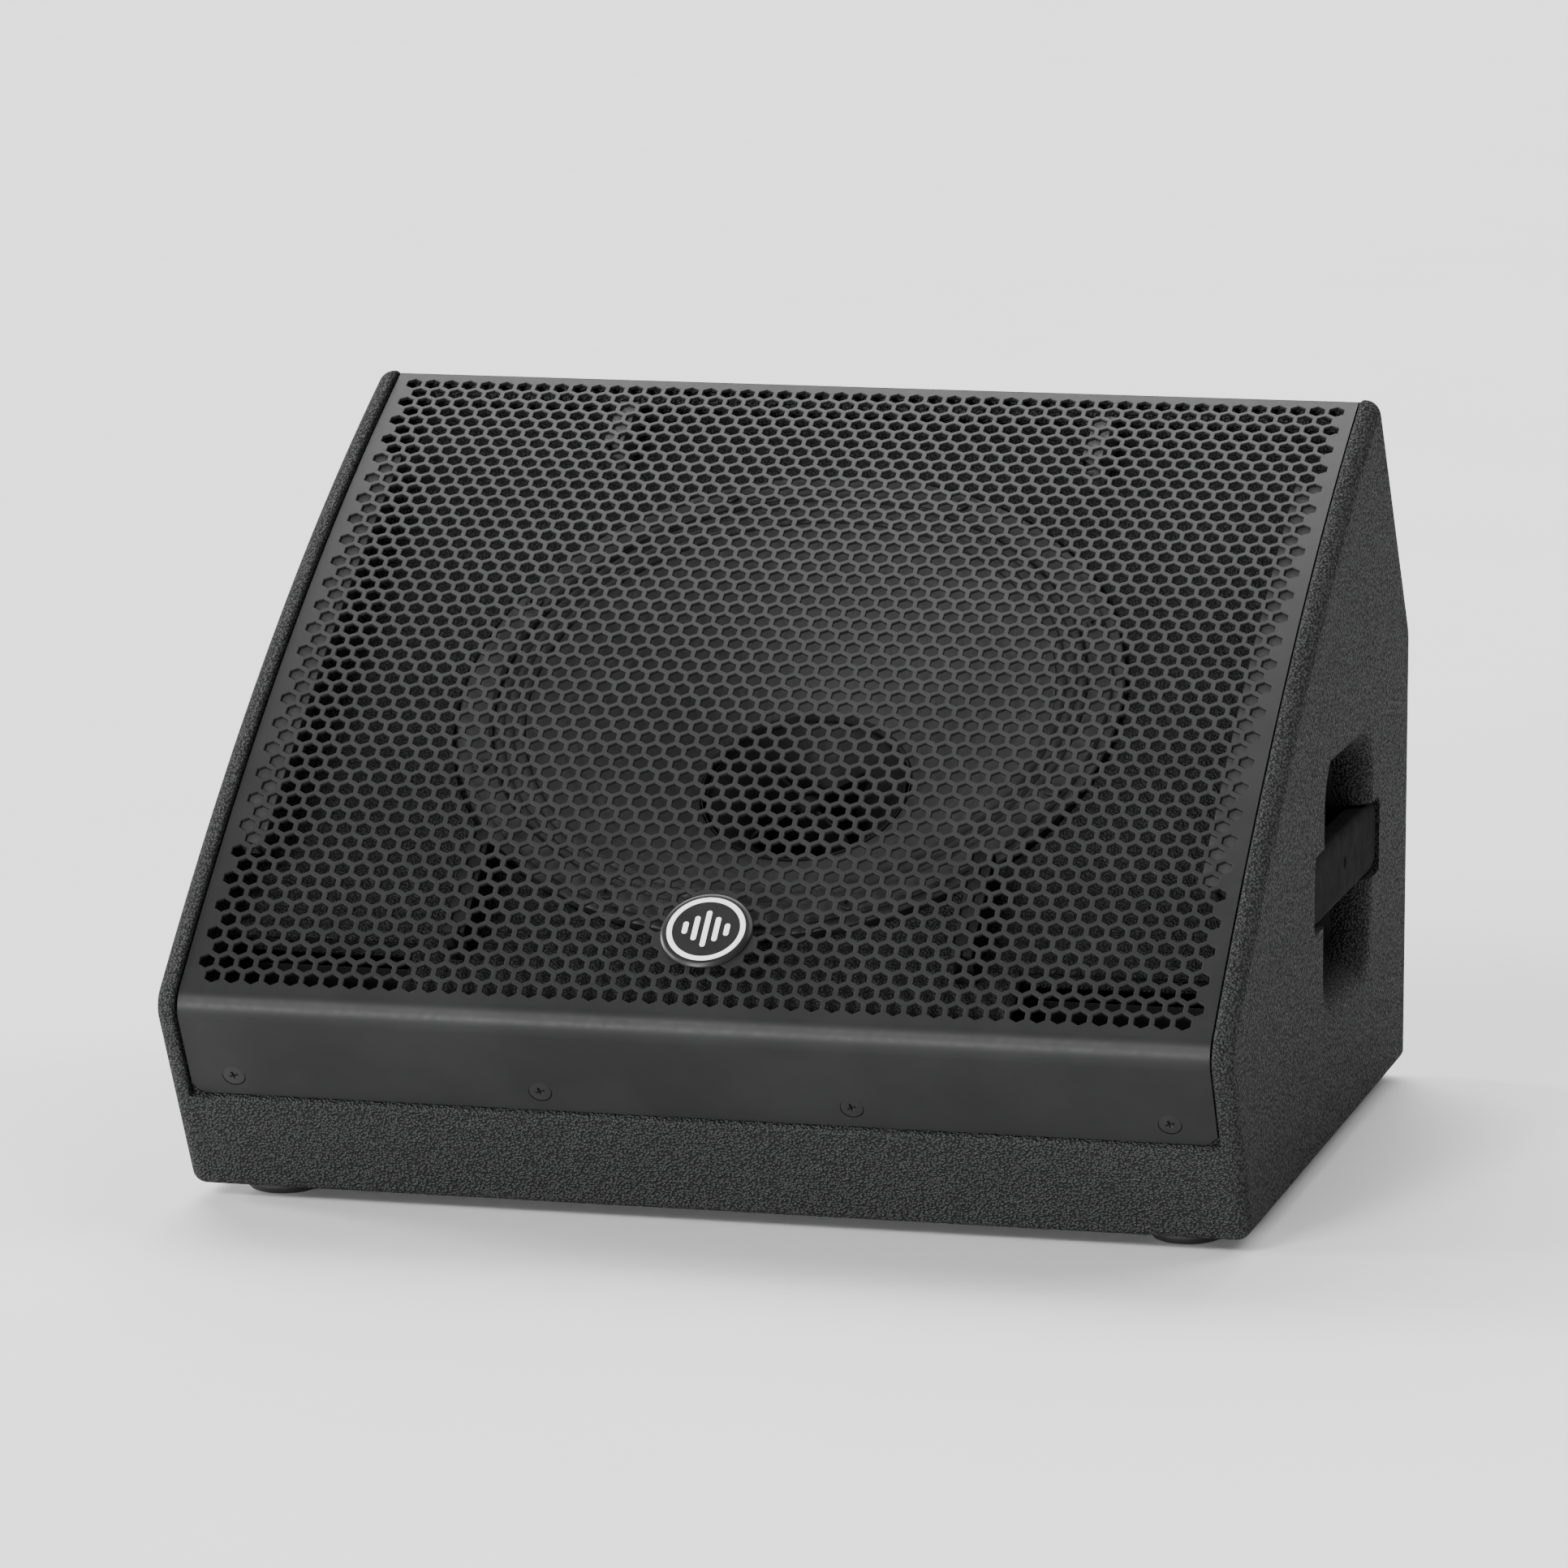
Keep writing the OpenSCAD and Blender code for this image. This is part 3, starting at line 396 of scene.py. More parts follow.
PAD_DARK = surface("dark_pad_foam", 0.007, 0.012, 0.9, grain=1500, grain_depth=0.08, specular=0.1)
HORN_BLACK = surface("horn_black", 0.005, 0.008, 0.55, grain=1600, grain_depth=0.04, specular=0.2)
CUP_BLACK = surface("handle_cup_black", 0.006, 0.011, 0.6, grain_depth=0.05)


# ---------------------------------------------------------------- mesh helpers
def smooth(obj, angle):
    """Smooth faces, with sharp edges over an angle."""
    obj.data.polygons.foreach_set("use_smooth", [True] * len(obj.data.polygons))
    obj.data.set_sharp_from_angle(angle=math.radians(angle))


def weigh_normals(obj, keep_sharp=True):
    """Normals that keep flat faces flat."""
    modifier = obj.modifiers.new("face_weighted_normals", "WEIGHTED_NORMAL")
    modifier.keep_sharp = keep_sharp
    modifier.weight = 60


def soften(obj, width, angle=35):
    """Rounds the edges that are sharper than an angle."""
    modifier = obj.modifiers.new("broken_edges", "BEVEL")
    modifier.width = width * MM
    modifier.segments = 2
    modifier.limit_method = "ANGLE"
    modifier.angle_limit = math.radians(angle)
    return obj


def finish_piece(obj, node=None, body="cabinet", angle=35, weighted=True):
    """Smooths a piece, and says its body and the CAD node that it replaces."""
    smooth(obj, angle)
    if weighted:
        weigh_normals(obj)
    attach(obj, body)
    if node:
        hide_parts(node)


def cad(node, material, bevel):
    """A carried-over CAD node: its own shape with broken edges and a better material."""
    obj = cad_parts[node]
    obj.data.materials.clear()
    obj.data.materials.append(material)
    smooth(obj, 32)
    weld = obj.modifiers.new("weld", "WELD")
    weld.merge_threshold = 1e-6
    if bevel:
        soften(obj, bevel, 40)
    weigh_normals(obj, keep_sharp=not bevel)


def new_object(name, mesh, material=None):
    obj = bpy.data.objects.new(name, mesh)
    bpy.context.scene.collection.objects.link(obj)
    mesh.materials.append(material)
    return obj


def mesh_of(name, points, faces):
    """A mesh in metres from millimetre points, with its normals outwards."""
    mesh = bpy.data.meshes.new(name)
    mesh.from_pydata([Vector(p) * MM for p in points], [], faces)
    work = bmesh.new()
    work.from_mesh(mesh)
    bmesh.ops.remove_doubles(work, verts=work.verts, dist=1e-7)
    bmesh.ops.dissolve_degenerate(work, edges=work.edges, dist=1e-7)
    bmesh.ops.recalc_face_normals(work, faces=work.faces)
    work.to_mesh(mesh)
    work.free()
    return mesh


def loft(name, rings, material=None, closed=False):
    """A capped solid through rings of equally many points; a closed one returns to its first ring."""
    count = len(rings[0])
    points = [p for ring in rings for p in ring]
    faces = []
    for k in range(len(rings) if closed else len(rings) - 1):
        n = (k + 1) % len(rings)
        for i in range(count):
            j = (i + 1) % count
            faces.append((k * count + i, k * count + j, n * count + j, n * count + i))
    if not closed:
        faces.append(tuple(range(count)))
        faces.append(tuple(range(len(points) - count, len(points))))
    return new_object(name, mesh_of(name, points, faces), material)


def lathe(name, profile, at, material=None, steps=96):
    """Turns a closed (radius, height) profile about the z axis of the frame that at stands for."""
    count = len(profile)
    points, faces = [], []
    for k in range(steps):
        a = 2 * math.pi * k / steps
        points += [at(r * math.cos(a), r * math.sin(a), z) for r, z in profile]
        n = (k + 1) % steps
        for i in range(count):
            j = (i + 1) % count
            faces.append((k * count + i, n * count + i, n * count + j, k * count + j))
    return new_object(name, mesh_of(name, points, faces), material)


def solid(*profile):
    """A profile that is closed along the axis; its last point may lie on the axis itself."""
    top = [(0, profile[-1][1])] if profile[-1][0] else []
    return [(0, profile[0][1]), *profile, *top]


def across(name, sections, material=None):
    """A solid through upright sections, each given as x and points in the (y, z) plane."""
    return loft(name, [[Vector((x, p.x, p.y)) for p in points] for x, points in sections], material)


def prism(name, x0, x1, points, material=None):
    return across(name, [(x0, points), (x1, points)], material)


def stack(name, levels, at, material=None, closed=False):
    """A solid through (outline, height) levels in a piece's own frame."""
    return loft(name, [[at(p.x, p.y, z) for p in points] for points, z in levels], material, closed)


def cut(obj, *cutters):
    """Takes the cutters' solids out of the object and deletes them."""
    material = obj.data.materials[0]
    for cutter in cutters:
        modifier = obj.modifiers.new("cut", "BOOLEAN")
        modifier.operation = "DIFFERENCE"
        modifier.solver = "EXACT"
        modifier.object = cutter
    bpy.context.view_layer.update()
    cut_mesh = bpy.data.meshes.new_from_object(obj.evaluated_get(bpy.context.evaluated_depsgraph_get()))
    obj.modifiers.clear()
    obj.data = cut_mesh
    cut_mesh.materials.clear()
    cut_mesh.materials.append(material)
    cut_mesh.polygons.foreach_set("material_index", [0] * len(cut_mesh.polygons))
    for cutter in cutters:
        bpy.data.objects.remove(cutter)
    return obj


def join(name, objects):
    """One piece from several solids of the same material."""
    work = bmesh.new()
    for obj in objects:
        work.from_mesh(obj.data)
    mesh = bpy.data.meshes.new(name)
    work.to_mesh(mesh)
    work.free()
    material = objects[0].data.materials[0]
    for obj in objects:
        bpy.data.objects.remove(obj)
    return new_object(name, mesh, material)


# ---------------------------------------------------------------- outlines and frames
def rounded(corners, radius=0.0, steps=4):
    """A closed outline with rounded corners; a corner (x, y, r) has a radius of its own."""
    points = []
    count = len(corners)
    for i in range(count):
        p = Vector(corners[i][:2])
        r = corners[i][2] if len(corners[i]) > 2 else radius
        a = Vector(corners[i - 1][:2]) - p
        b = Vector(corners[(i + 1) % count][:2]) - p
        half = a.angle(b) / 2
        if r <= 0 or half > math.pi / 2 - 0.001:
            points.append(p)
            continue
        reach = min(r / math.tan(half), 0.49 * a.length, 0.49 * b.length)
        r = reach * math.tan(half)
        centre = p + (a.normalized() + b.normalized()).normalized() * r / math.sin(half)
        a0 = angle_of(p + a.normalized() * reach - centre)
        a1 = angle_of(p + b.normalized() * reach - centre)
        points += arc(centre, r, a0, (a1 - a0 + 180) % 360 - 180, steps)
    return points


def rectangle(half_w, half_h, radius, steps=6, middle=(0, 0)):
    corners = [(half_w, half_h), (-half_w, half_h), (-half_w, -half_h), (half_w, -half_h)]
    return [p + Vector(middle) for p in rounded(corners, max(radius, 0.01), steps)]


def rounded_square(middle, half_y, half_z, radius, steps=8):
    """Corner arcs of a rounded rectangle in the (y, z) plane."""
    points = []
    for quarter, (sy, sz) in enumerate(((1, 1), (-1, 1), (-1, -1), (1, -1))):
        centre = Vector((middle.x + sy * (half_y - radius), middle.y + sz * (half_z - radius)))
        points += arc(centre, radius, 90 * quarter, 90, steps)
    return points


def circle(radius, steps=48, middle=(0, 0)):
    return arc(Vector(middle), radius, 0, 360, steps)[:-1]


def quarter_turn(steps):
    """Sine and cosine at even steps of a quarter turn."""
    angles = [math.radians(90 * k / steps) for k in range(steps + 1)]
    return [(math.sin(a), math.cos(a)) for a in angles]


def rear_frame(x0, z0, y0=0.0):
    """Frame on the amplifier panel: x to +X, y up, z out of the rear."""
    return lambda x, y, z: Vector((x0 + x, y0 + z, z0 + y))


def side_frame(centre, side):
    """Frame on a side panel's outer face: x to +Y, y up, z outwards."""
    return lambda x, y, z: Vector((side * (HALF_W + z), centre.x + x, centre.y + y))


# ---------------------------------------------------------------- cabinet
EDGE_R = 7.6
LIP_R = 1.6
POCKET = Vector((61.0, FLOOR + 128.0))
POCKET_HALF, POCKET_FLARE, POCKET_CORNER = 68.0, 14.0, 30.0
BAR = Vector((58.7, FLOOR + 131.2))
BAR_HALF_L, BAR_HALF_W, BAR_T = 86.75, 17.25, 11.0
BAR_X = HALF_W - 1.5
BAR_GAP = 1.5
POLE = Vector((34.0, FLOOR + 145.0))


def rabbet_inset(name, t):
    """Depth of the rabbet behind the lip, for each stretch of the outline."""
    if name == "face":
        return RABBET
    if name == "nose":
        return RABBET + (GRILLE_BACK - RABBET) * min(1, t * 1.6)
    return GRILLE_BACK if name == "flange" else 0.0


def even(amount):
    return lambda name, t: amount


def lip_round(amount):
    """Inset of the lip's rounded inner edge, only where there is a lip."""
    return lambda name, t: amount * min(1, 4 * t) if name == "crest" else min(amount, rabbet_inset(name, t))


def side_panel(name, sign):
    """Outlines from the outer face inwards: rounded edge, lip, then the rabbet under the grille."""
    sections = [(HALF_W - EDGE_R * (1 - c), outline(even(EDGE_R * (1 - s)))) for s, c in quarter_turn(8)]
    sections += [(LIP_IN + LIP_R * (1 - s), outline(lip_round(LIP_R * (1 - c)))) for s, c in quarter_turn(4)]
    sections += [(x, outline(rabbet_inset, rabbeted=True)) for x in (LIP_IN, HALF_IN)]
    return across(name, [(sign * x, points) for x, points in sections], COATING)


def pocket_cutter():
    """The handle pocket: a flared mouth with a quarter-round edge, open into the cup."""
    mouth = HALF_W + 0.01
    levels = [(HALF_W + 5, 0.0)]
    levels += [(mouth - POCKET_FLARE * (1 - c), POCKET_FLARE * s) for s, c in quarter_turn(8)]
    levels.append((HALF_IN - 2, POCKET_FLARE))
    return across("pocket", [(x, rounded_square(POCKET, POCKET_HALF - d, POCKET_HALF - d, POCKET_CORNER - d))
                             for x, d in levels])


def build_side_panels():
    right = side_panel("cabinet_side_right", 1)
    notch = rounded_square(BAR, BAR_HALF_L + BAR_GAP, BAR_HALF_W + BAR_GAP, 5.0, 5)
    cut(right, pocket_cutter(), prism("notch", BAR_X - BAR_T, HALF_W + 5, notch))
    left = side_panel("cabinet_side_left", -1)
    cut(left, prism("flange_recess", -HALF_W + 3, -HALF_W - 3, circle(45.2, middle=POLE)),
        prism("tube_hole", -HALF_W - 3, 0, circle(21.2, middle=POLE)))
    finish_piece(right, "side_panel_right", angle=32)
    finish_piece(left, "side_panel_left", angle=32)


def build_cabinet_panels():
    """Front, bottom, rear and slope panels between the sides, flush with their edges."""
    def panel(name, points):
        return prism(name, -HALF_IN, HALF_IN, points, COATING)
    bottom_in = FLOOR + PANEL_T
    front_back = GRILLE_BACK + PANEL_T
    rise = (bottom_in - front_at(0, 0).y) / FRONT_UP.y
    back_rise = (bottom_in - front_at(0, front_back).y) / FRONT_UP.y
    bottom = panel("cabinet_bottom", [front_at(rise, 0)] + arc(TOE, TOE_R, A_FRONT, 270 - A_FRONT, 8)
                   + arc(HEEL, HEEL_R, -90, 90, 6) + [Vector((REAR, bottom_in))])
    edge, front_top = 2.0, 90
    brow = [front_at(SHELF - edge + edge * s, edge * (1 - c)) for s, c in quarter_turn(6)]
    front = panel("cabinet_front", [front_at(rise, 0)] + brow
                  + [front_at(SHELF, GRILLE_BACK), front_at(front_top, GRILLE_BACK),
                     front_at(front_top, front_back), front_at(back_rise, front_back)])
    half = A_SLOPE / 2
    mitre_in = BEND + (BEND_R - PANEL_T) / math.cos(math.radians(half)) * polar(half)
    rear = panel("cabinet_rear", [Vector((REAR - PANEL_T, bottom_in)), Vector((REAR, bottom_in))]
                 + arc(BEND, BEND_R, 0, half, 4) + [mitre_in])
    low, high = box_mm("amp_tray")
    gap, flange_w = 0.4, 10.6
    rim = rectangle((high.x - low.x) / 2 + gap, (high.z - low.z) / 2 + gap, 19)
    opening = [Vector(p) for p in ((0, low.z + flange_w), (REAR + 5, low.z + flange_w),
                                   (REAR + 5, high.z - flange_w), (0, high.z - flange_w))]
    cut(rear, stack("recess", [(rim, -3), (rim, 5)], rear_frame(0, (low.z + high.z) / 2, REAR)),
        prism("opening", low.x + flange_w, high.x - flange_w, opening))
    slope = panel("cabinet_slope", [mitre_in] + arc(BEND, BEND_R, half, half, 4)
                  + arc(RIM, RIM_R, A_SLOPE, A_RIM_BACK - A_SLOPE, 8)
                  + [FACE + (FACE_R - RIM_TOP) * polar(A_RIM_IN), FACE + (FACE_R - RABBET) * polar(A_RIM_IN),
                     under_face(PANEL_T, RABBET)])
    for obj, part in ((bottom, "bottom"), (front, "front"), (rear, "rear"), (slope, "slope")):
        finish_piece(obj, part + "_panel", angle=32)


# ---------------------------------------------------------------- grille
PITCH = 9.507
ROW = PITCH * math.sqrt(3) / 2
ROWS = 52
HOLE_FLAT = 7.0
PATTERN_S = 2.2
HOLE_BREAK = 0.3
GRILLE_HALF = LIP_IN - 1.2
GRILLE_TOP_S = GRILLE_R * math.radians(A_MID - (A_TOP - 0.2))
NOSE_S = -GRILLE_R * math.radians(A_NOSE - A_MID)
BEND_OUT = NOSE_R - LIP_PROUD
BEND_LEN = BEND_OUT * math.radians(A_FRONT - A_NOSE)
FLANGE_END = NOSE_S - BEND_LEN - (FRONT_LEN - FLANGE_LOW)
FLANGE_CHAMFER = 5.0
BEND_STEPS, FACE_STEPS = 16, 60
SCREW_X = (-221.0, -73.6, 73.6, 221.0)
SCREW_UP = 63.5
SCREW_S = NOSE_S - BEND_LEN - (FRONT_LEN - SCREW_UP)
SCREW_HOLE = 5.6
BADGE_S = -169.0
BADGE_R = 21.5


def skin(x, s, inset):
    """Point of the bent sheet at arc length s up its outer side, inset from the outline."""
    if s >= NOSE_S:
        p = FACE + (FACE_R - inset) * polar(A_MID - math.degrees(s / GRILLE_R))
    elif s >= NOSE_S - BEND_LEN:
        p = NOSE + (NOSE_R - inset) * polar(A_NOSE + math.degrees((NOSE_S - s) / BEND_OUT))
    else:
        p = NOSE + (NOSE_R - inset) * FRONT_N - (NOSE_S - BEND_LEN - s) * FRONT_UP
    return Vector((x, p.x, p.y))


def hexagon(x, s, flat):
    r = flat / math.sqrt(3)
    return [(x + r * math.cos(math.radians(30 + 60 * k)), s + r * math.sin(math.radians(30 + 60 * k)))
            for k in range(6)]


def hole_centres():
    """Hexagon centres: rows of 50 and 49 in turn, without those that the badge hides."""
    places = []
    for row in range(ROWS):
        s = PATTERN_S + (row - (ROWS - 1) / 2) * ROW
        half = 24.5 if (ROWS - 1 - row) % 2 == 0 else 24
        for k in range(int(2 * half) + 1):
            x = (k - half) * PITCH
            if math.hypot(x, s - BADGE_S) > BADGE_R - 0.5:
                places.append((x, s))
    return places


def loop(ids):
    """The edges of a closed loop of points."""
    return [(ids[i], ids[(i + 1) % len(ids)]) for i in range(len(ids))]


def in_holes(px, ps, cells):
    """Whether a border triangle's middle lies in a hole's own cell or in a screw hole."""
    if any(math.hypot(px - x, ps - SCREW_S) < SCREW_HOLE for x in SCREW_X):
        return True
    row = round((ps - PATTERN_S) / ROW + (ROWS - 1) / 2)
    for r in (row - 1, row, row + 1):
        s = PATTERN_S + (r - (ROWS - 1) / 2) * ROW
        for half_step in (-1, 0, 1):
            x = (round(px / PITCH * 2) + half_step) * PITCH / 2
            across_cell = [abs((px - x) * polar(k).x + (ps - s) * polar(k).y) for k in (0, 60, 120)]
            if cell_of(x, s) in cells and max(across_cell) < PITCH / 2 + 0.01:
                return True
    return False


def cell_of(x, s):
    return (round(x / PITCH * 2), round((s - PATTERN_S) / ROW * 2))


def build_grille():
    """The perforated sheet: a ring of quads round each hole, and a triangulated border."""
    flat_points, index = [], {}

    def vertex(x, s):
        key = (round(x * 200), round(s * 200))
        if key not in index:
            index[key] = len(flat_points)
            flat_points.append((x, s))
        return index[key]

    flat, holes, uses = [], [], {}
    for x, s in hole_centres():
        outer = [vertex(*p) for p in hexagon(x, s, PITCH)]
        inner = [vertex(*p) for p in hexagon(x, s, HOLE_FLAT + 2 * HOLE_BREAK)]
        for i in range(6):
            j = (i + 1) % 6
            flat.append((outer[i], outer[j], inner[j], inner[i]))
            edge = tuple(sorted((outer[i], outer[j])))
            uses[edge] = uses.get(edge, 0) + 1
        holes.append((x, s, inner))

    # the border, from the hole field's edge to the sheet's own edge
    c = FLANGE_CHAMFER
    bends = [NOSE_S - BEND_LEN * i / BEND_STEPS for i in range(BEND_STEPS + 1)]
    side_s = [FLANGE_END + c, (FLANGE_END + bends[-1]) / 2] + bends[::-1]
    side_s += [NOSE_S + (GRILLE_TOP_S - NOSE_S) * i / FACE_STEPS for i in range(1, FACE_STEPS + 1)]
    across_x = [GRILLE_HALF * (2 * i / 100 - 1) for i in range(1, 100)]
    boundary = [(GRILLE_HALF, s) for s in side_s] + [(-x, GRILLE_TOP_S) for x in across_x]
    boundary += [(-GRILLE_HALF, s) for s in reversed(side_s)] + [(-GRILLE_HALF + c, FLANGE_END)]
    boundary += [(x, FLANGE_END) for x in across_x if abs(x) < GRILLE_HALF - c - 1]
    boundary.append((GRILLE_HALF - c, FLANGE_END))
    rims = [[vertex(x, s) for x, s in boundary]]
    for x in SCREW_X:
        rims.append([vertex(x + p.x, SCREW_S + p.y) for p in circle(SCREW_HOLE, 24)])
    constraints = [edge for rim in rims for edge in loop(rim)]
    constraints += [edge for edge, count in uses.items() if count == 1]
    # straight lines across the nose bend keep its curve even
    for s in bends:
        row = [vertex(x, s) for x in (-GRILLE_HALF, *across_x, GRILLE_HALF)]
        constraints += zip(row, row[1:])
    used = sorted({v for edge in constraints for v in edge})
    local = {v: i for i, v in enumerate(used)}
    points, _, triangles, *_ = delaunay_2d_cdt(
        [Vector(flat_points[v]) for v in used], [(local[a], local[b]) for a, b in constraints],
        [[local[v] for v in rims[0]]], 1, 1e-4)
    back = [vertex(p.x, p.y) for p in points]
    cells = {cell_of(x, s) for x, s in hole_centres()}
    for triangle in triangles:
        ids = tuple(back[i] for i in triangle)
        middle = [sum(flat_points[i][axis] for i in ids) / 3 for axis in (0, 1)]
        if not in_holes(*middle, cells):
            flat.append(ids)

    # both sides of the sheet, with the hole walls and the outer edges between them
    solid_points = []

    def layer(points, inset):
        start = len(solid_points)
        solid_points.extend(skin(x, s, inset) for x, s in points)
        return start

    front = layer(flat_points, LIP_PROUD)
    rear = layer(flat_points, GRILLE_BACK)
    faces = [tuple(front + i for i in f) for f in flat]
    faces += [tuple(rear + i for i in reversed(f)) for f in flat]
    for x, s, inner in holes:
        wall_front = layer(hexagon(x, s, HOLE_FLAT), LIP_PROUD + HOLE_BREAK * 1.1)
        wall_rear = layer(hexagon(x, s, HOLE_FLAT), GRILLE_BACK)
        for i in range(6):
            j = (i + 1) % 6
            faces.append((front + inner[i], front + inner[j], wall_front + j, wall_front + i))
            faces.append((wall_front + i, wall_front + j, wall_rear + j, wall_rear + i))
            faces.append((wall_rear + i, wall_rear + j, rear + inner[j], rear + inner[i]))
    for a, b in [edge for rim in rims for edge in loop(rim)]:
        faces.append((front + a, front + b, rear + b, rear + a))
    grille = new_object("grille_sheet", mesh_of("grille_sheet", solid_points, faces), GRILLE_PAINT)
    finish_piece(grille, "grille", angle=40, weighted=False)


# ---------------------------------------------------------------- screws
CROSS_TURNS = (20, 110)
# head radius, head height, shank radius, length, width of the cross, height of the top, dome
FLANGE_SCREW = (5.4, 2.0, 1.8, 12.0, 4.6)
BAR_SCREW = (4.5, 2.0, 1.8, 11.0, 4.4, 2.2)
FOOT_SCREW = (4.8, 1.8, 1.8, 14.0, 4.4, 1.8)
POLE_SCREW = (4.1, 2.0, 1.8, 12.0, 4.2, -0.5)
TRAY_SCREW = (3.8, 1.5, 1.8, 11.7, 4.0, -0.45)
SOCKET_SCREW = (2.3, 0.9, 1.2, 3.0, 2.6, 2.2, 0.1)
INLET_SCREW = (3.2, 1.4, 1.5, 4.0, 3.2, 2.3, 0.1)


def turned(p, angle):
    """A point turned about the origin."""
    c, s = polar(angle)
    return Vector((p.x * c - p.y * s, p.x * s + p.y * c))


def screw_solid(at, material, head_r, head_h, shank_r, length, cross, top=0.0, dome=0.15):
    """A cross-head screw from its tip to its slightly domed head, with the cross cut in."""
    profile = [(0.0, top - length), (shank_r, top - length), (shank_r, top - head_h),
               (head_r - 0.12, top - 0.35 * head_h), (head_r, top - 0.2 * head_h), (head_r - 0.15, top)]
    profile += [(head_r * k / 6, top + dome * (1 - (k / 6) ** 2)) for k in range(5, -1, -1)]
    w, l = cross * 0.13, cross / 2
    arms = []
    for turn in CROSS_TURNS:
        arm = [turned(Vector((x, y)), turn) for x, y in ((-l, -w), (l, -w), (l, w), (-l, w))]
        tip = [p * 0.45 for p in arm]
        arms.append(stack("arm", [(tip, top - 1.3), (arm, top - 0.1), (arm, top + 1)], at))
    return cut(lathe("screw", profile, at, material, 40), *arms)


def build_screws(name, node, frames, sizes, material=BLACK_SCREW):
    finish_piece(join(name, [screw_solid(at, material, *sizes) for at in frames]), node)


def flange_frame(x0):
    """Frame on the grille's flange at the screws' height: x across, y up it, z out of it."""
    def at(x, y, z):
        p = front_at(SCREW_UP + y, LIP_PROUD - z)
        return Vector((x0 + x, p.x, p.y))
    return at


# ---------------------------------------------------------------- badge
BADGE_TOP = 2.0
RING_OUT, RING_IN = 18.4, 15.9
METER_BARS, METER_PITCH = (7.0, 14.0, 21.0, 14.0, 7.0), 4.9


def on_badge(x, y, z):
    """Point in the badge's frame: x across, y up the face, z out; zero on the grille."""
    out = polar(A_MID - math.degrees(BADGE_S / GRILLE_R))
    p = FACE + GRILLE_R * out + y * Vector((out.y, -out.x)) + z * out
    return Vector((x, p.x, p.y))


def build_badge():
    """A black disc with a white ring and five upright bars, like a level meter."""
    r, top = BADGE_R, BADGE_TOP
    disc = [(0.0, 0.3), (r - 0.3, 0.3), (r, 0.7), (r - 0.3, top - 0.9), (r - 1.1, top - 0.25), (r - 2.0, top),
            (RING_OUT + 0.15, top), (RING_OUT, top - 0.25), (RING_IN, top - 0.25), (RING_IN - 0.15, top),
            (0.0, top + 0.1)]
    finish_piece(lathe("badge_disc", disc, on_badge, BADGE_BLACK, 128), "badge")
    ring = [(RING_IN + 0.02, top - 0.3), (RING_OUT - 0.02, top - 0.3), (RING_OUT - 0.02, top + 0.02),
            (RING_OUT - 0.2, top + 0.12), (RING_IN + 0.2, top + 0.12), (RING_IN + 0.02, top + 0.02)]
    finish_piece(lathe("badge_ring", ring, on_badge, BADGE_WHITE, 128))
    bars = []
    for k, height in enumerate(METER_BARS):
        points = rectangle(1.25, height / 2, 1.2, middle=((k - 2) * METER_PITCH, 0))
        bars.append(stack("bar", [(points, top - 0.2), (points, top + 0.2)], on_badge, BADGE_WHITE))
    finish_piece(join("badge_bars", bars))


# ---------------------------------------------------------------- driver
CONE_R, COIL_R = 127.0, 50.3
FRAME_R = 160.0
PLATE_TOP = -79.0
ROUND = 128
EIGHTH = 45


def build_driver():
    profile = [(FRAME_R - 0.8, -3), (FRAME_R, -2.2), (FRAME_R, 1.7), (FRAME_R - 0.8, 2.5), (144.0, 2.5),
               (143.2, 2.0), (142.6, 0.2), (136, 0.0), (134.4, -2.0)]
    inner = rounded([(134, -8), (98, -58, 6), (98, PLATE_TOP + 3, 1), (88.2, PLATE_TOP + 3),
                     (88.2, PLATE_TOP), (101, PLATE_TOP, 1), (101, -60, 6), (138.6, -6.4, 3), (139, -3)])
    basket = lathe("driver_basket", profile + [(p.x, p.y) for p in inner], on_driver, CAST_METAL, ROUND)
    window = rectangle(22, 20, 6)
    windows = []
    for k in range(8):
        c, s = math.cos(math.radians(EIGHTH * k)), math.sin(math.radians(EIGHTH * k))
        windows.append(stack("window", [([Vector((p.x, p.y - 34)) for p in window], 92.0),
                                        ([Vector((p.x * 1.3, p.y * 1.1 - 33)) for p in window], 150.0)],
                             lambda x, y, z, c=c, s=s: on_driver(z * c - x * s, z * s + x * c, y)))
    cut(basket, *windows)
    finish_piece(basket, "driver_frame")

    gasket = [(143.4, 2.6), (154.6, 2.6), (155.0, 3.2), (154.0, 4.8), (144.4, 4.8), (143.2, 3.4)]
    finish_piece(lathe("driver_gasket_ring", gasket, on_driver, GASKET, ROUND), "driver_gasket")

    head_profile = solid((4.6, 2.6), (4.6, 3.4), (4.2, 3.5), (4.2, 5.7), (3.7, 6.2))
    bolts = []
    for k in range(8):
        p = 150 * polar(EIGHTH / 2 + EIGHTH * k)
        at = (lambda x, y, z, p=p: on_driver(p.x + x, p.y + y, z))
        head = lathe("bolt", head_profile, at, BLACK_SCREW, 32)
        shank = lathe("bolt", [(0, -12.4), (1.8, -12.4), (1.8, 2.7), (0, 2.7)], at, BLACK_SCREW, 16)
        cut(head, stack("socket", [(circle(2.3, 6), 4.2), (circle(2.3, 6), 7.0)], at))
        bolts += [head, shank]
    finish_piece(join("driver_bolts", bolts), "driver_screws")


